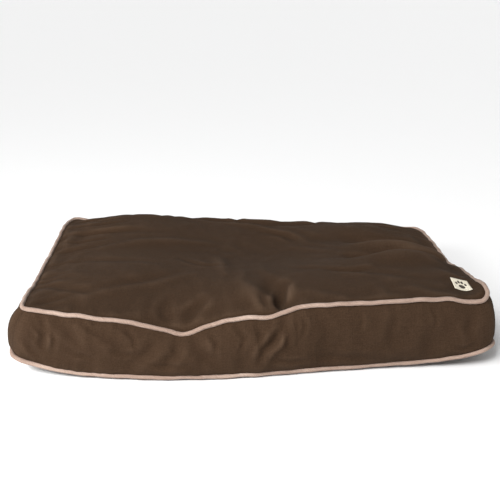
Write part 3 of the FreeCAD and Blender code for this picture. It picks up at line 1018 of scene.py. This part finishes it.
def wrapped_radius(seed):
    """The uneven outside of a wrapped cord."""
    def radius(along, turn):
        swelling = 0.030 * wave_row(along, seed, 6, 0.020, 0.140)
        slant = 0.024 * np.sin(2 * math.pi * along / 0.0125 + turn) * (
            0.6 + 0.4 * wave_row(along, seed + 5, 3, 0.05, 0.2)
        )
        return PIPING_RADIUS * (1 + swelling + slant)
    return radius


def core_radius(along, turn):
    """The cord inside is even all along and all round."""
    return PIPING_RADIUS - 1.35 * PIPING_WALL + 0 * along * turn


for name, sides, seed in (("top", upper, 21), ("bottom", lower, 22)):
    seam = ring(sides)
    line, length = closed_line(seam + outward(seam) * (PIPING_RADIUS - PIPING_SINK), TUBE_STEP)
    wrap = tube(name + "_piping_wrap", line, wrapped_radius(seed), TUBE_SIDES)
    thicken(wrap, PIPING_WALL)
    join(wrap, name + "_piping_cover")
    core = tube(name + "_piping_core", line[::2], core_radius, CORE_SIDES)
    join(core, name + "_piping_cord")
    print(name, f"piping {length:.3f} m, {len(wrap.data.polygons)} faces")

# %% [markdown]
# ## The stitches
# Sewing thread shows wherever a seam was run on the outside of the cloth. One stitch is
# modelled: a short thread, round in section, that thins at both ends where it dives into
# the cloth. Copies of it are laid end to end along each line of sewing.

# %% One stitch, modelled along X
deselect_all()
bpy.ops.mesh.primitive_uv_sphere_add(segments=6, ring_count=5, radius=0.5)
stitch = bpy.context.object
edit(True)
bpy.ops.transform.rotate(value=math.pi / 2, orient_axis="Y", center_override=(0, 0, 0))
bpy.ops.mesh.select_all(action="DESELECT")
edit(False)
for vertex in stitch.data.vertices:
    vertex.select = 0.2 < abs(vertex.co.x) < 0.49
edit(True)
bpy.ops.mesh.select_mode(type="VERT")
bpy.ops.transform.resize(value=(1.22, 1, 1), center_override=(0, 0, 0))
edit(False)
STITCH_POINTS = points_of(stitch)
STITCH_FACES = [tuple(face.vertices) for face in stitch.data.polygons]
bpy.data.objects.remove(stitch)
print("one stitch has", len(STITCH_FACES), "faces")


# %% Laying stitches
def lay_stitches(name, starts, ends, ups, thread):
    """One mesh of stitches, each from its start to its end, standing on the cloth."""
    starts, ends, ups = (np.asarray(a, float) for a in (starts, ends, ups))
    along = ends - starts
    length = np.linalg.norm(along, axis=1)[:, None]
    along /= length
    ups = ups - (ups * along).sum(axis=1)[:, None] * along
    ups /= np.linalg.norm(ups, axis=1)[:, None]
    across = np.cross(ups, along)
    middle = (starts + ends) / 2 + ups * thread * 0.12
    shape = STITCH_POINTS
    points = (
        middle[:, None]
        + shape[None, :, :1] * (along * length)[:, None]
        + shape[None, :, 1:2] * thread * across[:, None]
        + shape[None, :, 2:] * thread * 0.8 * ups[:, None]
    )
    count = len(shape)
    quads = [
        tuple(i + n * count for i in face) for n in range(len(starts)) for face in STITCH_FACES
    ]
    piece = new_piece(name, points.reshape(-1, 3), quads)
    piece.data.shade_smooth()
    return piece


def run_of_stitches(line, ups, stitch_length, gap):
    """Starts, ends and ups of the stitches along a line of points."""
    along = run_along(line)
    count = max(1, round(along[-1] / (stitch_length + gap)))
    pitch = along[-1] / count
    at = np.arange(count) * pitch + gap / 2

    def place(values, where):
        return np.stack([np.interp(where, along, values[:, k]) for k in range(3)], axis=1)

    return place(line, at), place(line, at + pitch - gap), place(ups, at + pitch / 2)


def sew(name, runs, thread):
    """One mesh of all the stitches of several runs."""
    return lay_stitches(name, *(np.concatenate(part) for part in zip(*runs)), thread)


# %% [markdown]
# ## The label
# A small cream cotton label is sewn on the top near the front right corner. It lies on
# the canvas and bends with it, so it is a grid whose points are dropped on the top panel.
# A plain paw print is embroidered on it in satin stitch: each pad is filled with threads
# that lie side by side.

# %% The label's cloth
LABEL_CORNERS = np.array([  # front left, front right, back left, back right
    (0.3890, -0.2770), (0.4245, -0.2790), (0.3880, -0.2400), (0.4225, -0.2395),
])
LABEL_WIDTH, LABEL_DEPTH = 0.036, 0.037
LABEL_HEIGHT = 0.0012
LABEL_WALL = 0.0007
LABEL_STEPS = 14


def on_label(a, b, height):
    """A point of the label, a from its left edge and b from its front edge, both 0 to 1."""
    fl, fr, bl, br = LABEL_CORNERS
    x, y = (1 - b) * ((1 - a) * fl + a * fr) + b * ((1 - a) * bl + a * br)
    place, normal, _, _ = top_surface.ray_cast(Vector((x, y, 1)), Vector((0, 0, -1)))
    return np.array(place + normal * height), np.array(normal)


label_points = np.array([
    on_label(a, b, LABEL_HEIGHT)[0]
    for b in np.linspace(0, 1, LABEL_STEPS + 1)
    for a in np.linspace(0, 1, LABEL_STEPS + 1)
])
label_numbers = np.arange(len(label_points)).reshape(LABEL_STEPS + 1, -1).tolist()
label_step = (LABEL_WIDTH / LABEL_STEPS, LABEL_DEPTH / LABEL_STEPS)
label_cloth = cut_panel("label_cloth", label_numbers, label_step, label_points)
thicken(label_cloth, LABEL_WALL)

# %% Its edge stitches and the paw print
INSET, FAR = 0.05, 0.95
EDGE_STITCH, EDGE_GAP, EDGE_THREAD = 0.0022, 0.0006, 0.0005
corners = [(INSET, INSET), (FAR, INSET), (FAR, FAR), (INSET, FAR), (INSET, INSET)]
runs = []
for (a0, b0), (a1, b1) in zip(corners, corners[1:]):
    path = [
        on_label(a0 + (a1 - a0) * t, b0 + (b1 - b0) * t, LABEL_HEIGHT)
        for t in np.linspace(0, 1, 15)
    ]
    line, line_ups = (np.array(part) for part in zip(*path))
    runs.append(run_of_stitches(line, line_ups, EDGE_STITCH, EDGE_GAP))
label_edge = sew("label_edge_stitches", runs, EDGE_THREAD)

PADS = [  # middle across, middle up, half width, half height
    (0.50, 0.36, 0.185, 0.150),
    (0.235, 0.575, 0.070, 0.095),
    (0.405, 0.735, 0.075, 0.105),
    (0.595, 0.735, 0.075, 0.105),
    (0.765, 0.575, 0.070, 0.095),
]
THREAD_ROWS, PAW_THREAD = 0.0135, 0.0007
starts, ends, ups = [], [], []
for across, up, half_width, half_height in PADS:
    rows_up = int(2 * half_height / THREAD_ROWS)
    for b in np.linspace(-0.93, 0.93, rows_up):
        reach = half_width * math.sqrt(1 - b * b)
        left, right = (
            on_label(across + side * reach, up + b * half_height, LABEL_HEIGHT)
            for side in (-1, 1)
        )
        starts.append(left[0])
        ends.append(right[0])
        ups.append(left[1] + right[1])
paw = lay_stitches("label_paw_print", starts, ends, ups, PAW_THREAD)
for piece in (label_cloth, label_edge, paw):
    join(piece, "label")
print("label with", len(starts), "threads in its paw print")

# %% [markdown]
# ## The zip
# The zip is a nylon coil: each row is one thread of nylon wound round and round, and what
# shows is a close line of little loops. One loop is modelled from a block with its edges
# bevelled off and turned a little, and an Array modifier repeats it along the row. The
# tapes that carry the rows are thin strips of twill. The slider, its pull tab and the
# stops keep their CAD shapes and only get their metal.

# %% The two rows of loops
LOOP_PITCH = 0.00125
LOOP_WIDTH = 0.00092
LOOP_LEAN = math.radians(9)
LOOP_BEVEL = 0.00024
LOOP_FACES = 26


def loop_row(node, shift, lean):
    low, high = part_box(node)
    size = high - low
    middle = (low + high) / 2
    count = int((size.x - LOOP_PITCH) / LOOP_PITCH)
    deselect_all()
    first = (low.x + LOOP_PITCH * (0.5 + shift), middle.y, middle.z)
    bpy.ops.mesh.primitive_cube_add(size=1, location=first)
    row = bpy.context.object
    row.name = node + "_loops"
    edit(True)
    bpy.ops.transform.resize(value=(LOOP_WIDTH, size.y, size.z * 0.97))
    bpy.ops.mesh.bevel(offset=LOOP_BEVEL, segments=1)
    bpy.ops.transform.rotate(value=lean, orient_axis="Y", center_override=row.location)
    edit(False)
    bpy.ops.object.transform_apply(location=True)
    repeat = row.modifiers.new("loops", "ARRAY")
    repeat.use_relative_offset = False
    repeat.use_constant_offset = True
    repeat.constant_offset_displace = (LOOP_PITCH, 0, 0)
    repeat.count = count
    take_modifiers(row)
    row.data.shade_smooth()
    join(row, node)
    return row


coil_rows = [
    loop_row("zip_coil_upper", 0.0, LOOP_LEAN),
    loop_row("zip_coil_lower", 0.5, -LOOP_LEAN),
]
print("loops in each row:", len(coil_rows[0].data.polygons) // LOOP_FACES)

# %% The tapes and the tabs at the zip's ends
TAPE_WALL = 0.0005
TAB_DIP = 0.0006
TAB_SEAM_IN, TAB_SEAM_END = 0.0025, 0.0015
TAB_STITCH, TAB_STITCH_GAP = 0.0018, 0.0004


def flat_strip(name, low, high, columns, rows_up):
    """A flat strip that faces the rear, from its lowest to its highest corner."""
    xs = np.linspace(high.x, low.x, columns + 1)
    zs = np.linspace(low.z, high.z, rows_up + 1)
    points = np.array([(x, high.y, z) for z in zs for x in xs])
    numbers = np.arange(len(points)).reshape(rows_up + 1, -1).tolist()
    spacing = ((high.x - low.x) / columns, (high.z - low.z) / rows_up)
    return cut_panel(name, numbers, spacing, points)


tapes = []
for which in ("upper", "lower"):
    low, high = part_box("zip_tape_" + which)
    tape = flat_strip("zip_tape_twill_" + which, low, high, 160, 6)
    thicken(tape, TAPE_WALL)
    join(tape, "zip_tape_" + which)
    flat = (high.z - low.z, high.x - low.x)
    tapes.append(tape)
end_tabs, tab_stitches = [], []
for which in ("left", "right"):
    low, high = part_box("zip_end_tab_" + which)
    tab = flat_strip("zip_end_cloth_" + which, low, high, 10, 6)
    for vertex in tab.data.vertices:
        over = abs(vertex.co.z - ZIP_Z) / (high.z - ZIP_Z)
        vertex.co.y -= TAB_DIP * over**6
    thicken(tab, min(CLOTH, high.y - low.y))
    join(tab, "zip_end_tab_" + which)
    end_tabs.append(tab)
    for x in (low.x + TAB_SEAM_IN, high.x - TAB_SEAM_IN):
        zs = np.linspace(low.z + TAB_SEAM_END, high.z - TAB_SEAM_END, 5)
        line = np.array([(x, high.y, z) for z in zs])
        line_ups = np.tile((0.0, 1.0, 0.0), (5, 1))
        tab_stitches.append(run_of_stitches(line, line_ups, TAB_STITCH, TAB_STITCH_GAP))
print("tapes and end tabs in place")

# %% The sewing beside the zip
STITCH_INSET = 0.0025
ZIP_STITCH, ZIP_STITCH_GAP, ZIP_THREAD = 0.0026, 0.0006, 0.0006
zip_runs = []
rear_trees = [
    BVHTree.FromObject(panels[name], bpy.context.evaluated_depsgraph_get())
    for name in ("rear_gusset_upper", "rear_gusset_lower")
]
for tree, side in zip(rear_trees, (1, -1)):
    line, line_ups = [], []
    for x in np.linspace(-BAND_END + 0.001, BAND_END - 0.001, 300):
        place, normal, _, _ = tree.ray_cast(
            Vector((x, 1, ZIP_Z + side * (FOLD + STITCH_INSET))), Vector((0, -1, 0))
        )
        line.append(place)
        line_ups.append(normal)
    line, line_ups = np.array(line), np.array(line_ups)
    zip_runs.append(run_of_stitches(line, line_ups, ZIP_STITCH, ZIP_STITCH_GAP))
zip_stitches = sew("zip_seam_stitches", zip_runs, ZIP_THREAD)
end_stitches = sew("zip_end_stitches", tab_stitches, ZIP_THREAD)
for piece in (zip_stitches, end_stitches):
    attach(piece, "root")
print("zip stitches:", len(zip_stitches.data.polygons) // len(STITCH_FACES))

# %% [markdown]
# ## Writing materials
# Shader maths is easier to read as Python. A Field wraps one output socket, and the usual
# operators on it add Math nodes. A Finish is one material: its node method makes any
# other node from its type, its settings and its inputs.

# %% Fields and finishes
class Field:
    """One socket of a material; operators on it add Math nodes."""

    def __init__(self, finish, socket):
        self.finish, self.socket = finish, socket

    def maths(self, operation, *values):
        inputs = dict(enumerate(values))
        return self.finish.node("Math", {"operation": operation}, inputs)

    def __add__(self, other):
        return self.maths("ADD", self, other)

    def __radd__(self, other):
        return self.maths("ADD", other, self)

    def __sub__(self, other):
        return self.maths("SUBTRACT", self, other)

    def __rsub__(self, other):
        return self.maths("SUBTRACT", other, self)

    def __mul__(self, other):
        return self.maths("MULTIPLY", self, other)

    def __rmul__(self, other):
        return self.maths("MULTIPLY", other, self)

    def __abs__(self):
        return self.maths("ABSOLUTE", self)

    def sine(self):
        return self.maths("SINE", self)

    def step(self, low, high):
        """0 below low, 1 above high, and smooth between."""
        settings = {"interpolation_type": "SMOOTHSTEP"}
        ends = {0: self, 1: low, 2: high, 3: 0.0, 4: 1.0}
        return self.finish.node("MapRange", settings, ends)


class Finish:
    """A material under construction."""

    def __init__(self, name, **constants):
        self.material = bpy.data.materials.new(name)
        self.material.use_nodes = True
        self.tree = self.material.node_tree
        self.shader = self.tree.nodes["Principled BSDF"]
        for socket, value in constants.items():
            self.shader.inputs[socket.replace("_", " ")].default_value = value

    def node(self, kind, settings, inputs, output=0):
        made = self.tree.nodes.new("ShaderNode" + kind)
        for key, value in settings.items():
            if key == "stops":
                ramp = made.color_ramp
                for number, (position, colour) in enumerate(value):
                    if number >= 2:
                        ramp.elements.new(position)
                    ramp.elements[number].position = position
                    ramp.elements[number].color = (*colour, 1)
            else:
                setattr(made, key, value)
        for key, value in inputs.items():
            if isinstance(value, Field):
                self.tree.links.new(value.socket, made.inputs[key])
            else:
                made.inputs[key].default_value = value
        return Field(self, made.outputs[output])

    def cloth_map(self):
        """The two directions of the cloth, in metres."""
        where = self.node("UVMap", {"uv_map": "cloth"}, {})
        self.cloth = [self.node("SeparateXYZ", {}, {0: where}, output) for output in (0, 1)]
        return self.cloth

    def space(self):
        return self.node("TexCoord", {}, {}, "Object")

    def vector(self, x, y, z=0.0):
        return self.node("CombineXYZ", {}, {0: x, 1: y, 2: z})

    def noise(self, where, scale, detail=3.0, roughness=0.55):
        inputs = {"Vector": where, "Scale": scale, "Detail": detail, "Roughness": roughness}
        return self.node("TexNoise", {}, inputs)

    def cloth_noise(self, across, along, shift=0.0, detail=3.0, roughness=0.55):
        """Noise on the cloth map, with so many waves a metre in its two directions."""
        u, v = self.cloth
        where = self.vector(u * across, v * along, shift)
        return self.noise(where, 1.0, detail, roughness)

    def blend(self, factor, first, second):
        """From the first colour to the second as the factor goes from 0 to 1."""
        a, b = (c if isinstance(c, Field) else (*c, 1) for c in (first, second))
        return self.node("Mix", {"data_type": "RGBA"}, {0: factor, 6: a, 7: b}, 2)

    def attribute(self, name):
        return self.node("Attribute", {"attribute_name": name}, {}, "Fac")

    def send(self, socket, field):
        self.tree.links.new(field.socket, self.shader.inputs[socket])

    def paint(self, factor, first, second):
        self.send("Base Color", self.blend(factor, first, second))

    def bumps(self, height, depth):
        """The height field, 0 to 1, as relief depth metres deep."""
        inputs = {"Height": height, "Distance": depth, "Strength": 1.0}
        self.send("Normal", self.node("Bump", {}, inputs))


def weave(u, v, pitch):
    """A plain weave's height: each thread rises over its neighbours in turn."""
    turn_u, turn_v = u * (math.pi / pitch), v * (math.pi / pitch)
    over = (turn_u.sine() * turn_v.sine()).step(-0.25, 0.25)
    warp, weft = abs((turn_u * 2.0).sine()), abs((turn_v * 2.0).sine())
    return over * warp + (1 - over) * weft


# %% [markdown]
# ## The canvas
# The cover is cotton canvas dyed dark brown. Its yarns are uneven, so fine streaks run in
# both directions of the cloth. Washing has faded it a little where it is rubbed, on the
# crests of folds, which are also painted lighter as a highlight; the creases and a narrow
# band right beside the piping are painted darker, as shade. Fine lint gives it a dry,
# slightly dusty sheen.

# %% The canvas finish
# the dark tone is also the painted shade beside the seams and in the creases; the faded tone is
# also the painted highlight on fold crests
CANVAS_DARK = (0.0290, 0.0160, 0.0088)
CANVAS_BROWN = (0.0500, 0.0285, 0.0165)
CANVAS_FADED_AND_LIT = (0.079, 0.049, 0.0310)
canvas = Finish("canvas_brown", Roughness=0.93, Sheen_Weight=0.015, Sheen_Roughness=0.5)
canvas.shader.inputs["Sheen Tint"].default_value = (0.75, 0.60, 0.45, 1)
canvas.shader.inputs["Specular IOR Level"].default_value = 0.06
u, v = canvas.cloth_map()
streaks_u = canvas.cloth_noise(32.0, 520.0)
streaks_v = canvas.cloth_noise(480.0, 30.0, 7.0)
slub = (streaks_u + streaks_v) * 0.5
patches = canvas.cloth_noise(9.0, 9.0, 3.0)
grain = canvas.cloth_noise(420.0, 420.0, 5.0, 2.0)
fading_and_shade = canvas.attribute("fading_and_shade")
mottle = canvas.cloth_noise(190.0, 190.0, 8.0, 4.0, 0.65)
# painted shade: the per-point fading mark pulls the colour to the dark tone beside the seams and in
# the creases
tone = slub * 0.45 + patches * 0.2 + grain * 1.1 + mottle * 0.6 + fading_and_shade * 0.3
shade = tone.step(0.92, 1.72)
colour = canvas.blend(shade, CANVAS_DARK, CANVAS_BROWN)
# lighter on fold crests, as worn dye and painted highlight; kept unfaded beside the seams, as
# painted shade
worn_and_painted_light = (fading_and_shade * 0.8 + slub * 0.5 + patches * 0.2).step(0.72, 1.35)
canvas.paint(worn_and_painted_light, colour, CANVAS_FADED_AND_LIT)
canvas.send("Roughness", 0.88 + 0.1 * slub)
threads = weave(u, v, 0.0011)
rumple = canvas.cloth_noise(52.0, 62.0, 12.0, 4.0, 0.6)
canvas.bumps(threads * 0.45 + slub * 0.8 + grain * 0.6 + rumple * 3.2, 0.00045)
print("canvas has", len(canvas.tree.nodes), "nodes")

# %% [markdown]
# ## The piping
# The piping's cloth is a finer cotton in a dusty pink tan, cut on the slant, so its weave
# runs at 45 degrees to the cord. It is a little soiled in places and paler in patches.

# %% The piping finishes
PIPING_SHADE = (0.235, 0.158, 0.122)
PIPING_TAN = (0.335, 0.240, 0.192)
PIPING_PALE = (0.44, 0.335, 0.275)
piping = Finish("piping_tan", Roughness=0.88, Sheen_Weight=0.06, Sheen_Roughness=0.45)
piping.shader.inputs["Specular IOR Level"].default_value = 0.25
u, v = piping.cloth_map()
slant_u, slant_v = (u + v) * 0.7071, (u - v) * 0.7071
yarn = piping.noise(piping.vector(slant_u * 60.0, slant_v * 1400.0), 1.0, 2.0)
soil = piping.cloth_noise(26.0, 30.0, 2.0, 4.0)
blotch = piping.cloth_noise(6.0, 10.0, 9.0, 2.0)
colour = piping.blend((yarn * 0.6 + soil * 0.6).step(0.42, 0.78), PIPING_SHADE, PIPING_TAN)
piping.paint((blotch * 0.7 + yarn * 0.4).step(0.50, 0.80), colour, PIPING_PALE)
piping.send("Roughness", 0.82 + 0.12 * soil)
piping.bumps(weave(slant_u, slant_v, 0.0008) * 0.5 + yarn * 0.7, 0.0003)

cord = Finish("cord_cotton", Roughness=0.9)
u, v = cord.cloth_map()
strand = (u * 900.0 + v * 700.0).sine() * 0.5 + 0.5
cord.paint(strand, (0.42, 0.39, 0.34), (0.66, 0.63, 0.57))
cord.bumps(strand, 0.0006)
print("piping finishes made")

# %% [markdown]
# ## The small finishes
# The zip's tapes are twill, with diagonal ribs. The coil is brown nylon, smooth and a
# little glossy. The slider, tab and stops are antique brass, brighter where fingers rub
# them. The thread is twisted cotton, the label cream cotton, and the liner and its fibre
# are white.

# %% Zip, thread, label, liner and fibre
tape_twill = Finish("zip_tape_twill", Roughness=0.8)
u, v = tape_twill.cloth_map()
ribs = ((u + v) * 5200.0).sine() * 0.5 + 0.5
fuzz = tape_twill.cloth_noise(700.0, 700.0, detail=2.0)
ribbed = ribs * 0.6 + fuzz * 0.4
tape_twill.paint(ribbed, (0.030, 0.020, 0.014), (0.075, 0.052, 0.036))
tape_twill.bumps(ribs * 0.7 + fuzz * 0.3, 0.00018)

nylon = Finish("zip_nylon", Roughness=0.38, Coat_Weight=0.15)
speck = nylon.noise(nylon.space(), 900.0, 2.0)
nylon.paint(speck, (0.060, 0.038, 0.024), (0.105, 0.070, 0.046))
nylon.send("Roughness", 0.30 + 0.25 * speck)

brass = Finish("zip_antique_brass", Metallic=1.0)
tarnish = brass.noise(brass.space(), 260.0, 5.0, 0.6)
scuff = brass.noise(brass.space(), 1400.0, 2.0)
mask = (tarnish * 0.8 + scuff * 0.3).step(0.42, 0.68)
brass.paint(mask, (0.16, 0.105, 0.050), (0.62, 0.44, 0.22))
brass.send("Roughness", 0.52 - 0.22 * mask)
brass.bumps(tarnish * 0.5 + scuff * 0.5, 0.00006)


def cloth_finish(name, dark, light, pitch, depth):
    """A plain woven cloth with uneven yarns, drawn on the piece's cloth map."""
    finish = Finish(name, Roughness=0.9)
    u, v = finish.cloth_map()
    yarns = finish.cloth_noise(60.0, 1200.0, detail=2.0)
    cross = finish.cloth_noise(1200.0, 60.0, 4.0, 2.0)
    finish.paint(((yarns + cross) * 0.5).step(0.35, 0.65), dark, light)
    finish.send("Roughness", 0.82 + 0.14 * yarns)
    finish.bumps(weave(u, v, pitch) * 0.6 + yarns * 0.5, depth)
    return finish


label_cotton = cloth_finish("label_cream", (0.60, 0.54, 0.42), (0.80, 0.75, 0.63), 0.0009, 0.0002)
liner_cotton = cloth_finish("liner_white", (0.62, 0.60, 0.55), (0.80, 0.78, 0.74), 0.0009, 0.0002)


def thread_finish(name, dark, light):
    finish = Finish(name, Roughness=0.7)
    twist = finish.noise(finish.space(), 2600.0, 2.0)
    finish.paint(twist.step(0.35, 0.65), dark, light)
    finish.send("Roughness", 0.55 + 0.3 * twist)
    finish.bumps(twist, 0.00012)
    return finish


brown_thread = thread_finish("thread_brown", (0.075, 0.050, 0.033), (0.165, 0.118, 0.080))
dark_thread = thread_finish("thread_dark", (0.020, 0.014, 0.010), (0.055, 0.040, 0.030))
cream_thread = thread_finish("thread_cream", (0.50, 0.44, 0.34), (0.72, 0.66, 0.54))

fibre = Finish("fibre_white", Roughness=0.95, Sheen_Weight=0.3)
tufts = fibre.noise(fibre.space(), 34.0, 6.0, 0.7)
hairs = fibre.noise(fibre.space(), 420.0, 4.0, 0.7)
fibre.paint(tufts.step(0.3, 0.7), (0.66, 0.65, 0.62), (0.86, 0.86, 0.84))
fibre.bumps(tufts * 0.6 + hairs * 0.4, 0.002)


# %% Put each finish on its pieces
def dress(finish, pieces):
    for piece in pieces:
        piece.data.materials.clear()
        piece.data.materials.append(finish.material)


def named(*names):
    return [bpy.data.objects[name] for name in names]


dress(canvas, list(panels.values()) + end_tabs)
dress(piping, named("top_piping_wrap", "bottom_piping_wrap"))
dress(cord, named("top_piping_core", "bottom_piping_core"))
dress(liner_cotton, named(*(name + "_cloth" for name in LINER_PANELS)))
dress(fibre, [bag])
dress(label_cotton, [label_cloth])
dress(cream_thread, [label_edge])
dress(dark_thread, [paw])
dress(brown_thread, [zip_stitches, end_stitches])
dress(tape_twill, tapes)
dress(nylon, coil_rows)
METAL_NODES = ("zip_top_stops", "zip_bottom_stop", "zip_slider_body", "zip_pull_tab")
for node in METAL_NODES:
    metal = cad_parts[node]
    for slot in metal.material_slots:
        slot.material = brass.material
print(len(bpy.data.materials), "materials")

# %% [markdown]
# ## The studio
# A white floor, a white sky and one broad soft light from the upper left front. Colours
# are shown as they are, with no film curve.

# %% Floor, sky and light
bpy.context.scene.view_settings.view_transform = "Standard"
deselect_all()
FLOOR_SIZE = 240
bpy.ops.mesh.primitive_plane_add(size=FLOOR_SIZE)
floor = bpy.context.object
floor.name = "floor"
pale = Finish("floor_white", Roughness=0.9)
pale.shader.inputs["Base Color"].default_value = (0.94, 0.94, 0.94, 1)
floor.data.materials.append(pale.material)

SKY_HIGH, SKY_LOW = 0.24, 1.0
SKY_FALL_START, SKY_FALL_END = 0.22, 0.42
KEY_STRENGTH = 3.1
KEY_HEIGHT, KEY_TURN = math.radians(37), math.radians(-28)
KEY_SOFTNESS = math.radians(18)
SOFTBOX_PLACE, SOFTBOX_POWER = (-1.35, -1.25, 1.10), 33.0
SOFTBOX_SIZE, SOFTBOX_AIM = 0.9, Vector((0, 0, 0.1))
FILL_STRENGTH, FILL_SOFTNESS = 0.35, math.radians(60)
FILL_DIRECTION = Vector((-0.55, -0.65, -0.42))
sky = bpy.data.worlds.new("sky")
bpy.context.scene.world = sky
sky.use_nodes = True
nodes, wires = sky.node_tree.nodes, sky.node_tree.links
direction = nodes.new("ShaderNodeTexCoord")
height = nodes.new("ShaderNodeSeparateXYZ")
wires.new(direction.outputs["Generated"], height.inputs[0])
fall = nodes.new("ShaderNodeMapRange")
fall.interpolation_type = "SMOOTHSTEP"
for number, value in enumerate((SKY_FALL_START, SKY_FALL_END, SKY_LOW, SKY_HIGH), 1):
    fall.inputs[number].default_value = value
wires.new(height.outputs[2], fall.inputs[0])
nodes["Background"].inputs["Color"].default_value = (1, 1, 1, 1)
wires.new(fall.outputs[0], nodes["Background"].inputs["Strength"])


def light(kind, name, energy, direction, place=(0, 0, 0)):
    bpy.ops.object.light_add(type=kind, location=place)
    made = bpy.context.object
    made.name = name
    made.data.energy = energy
    look_along(made, direction)
    return made.data


towards = direction_to(KEY_TURN, KEY_HEIGHT)
light("SUN", "key", KEY_STRENGTH, -towards).angle = KEY_SOFTNESS
softbox_aim = SOFTBOX_AIM - Vector(SOFTBOX_PLACE)
softbox = light("AREA", "softbox", SOFTBOX_POWER, softbox_aim, SOFTBOX_PLACE)
softbox.shape = "DISK"
softbox.size = SOFTBOX_SIZE
light("SUN", "fill", FILL_STRENGTH, FILL_DIRECTION).angle = FILL_SOFTNESS
print("key light from", [round(x, 2) for x in towards])
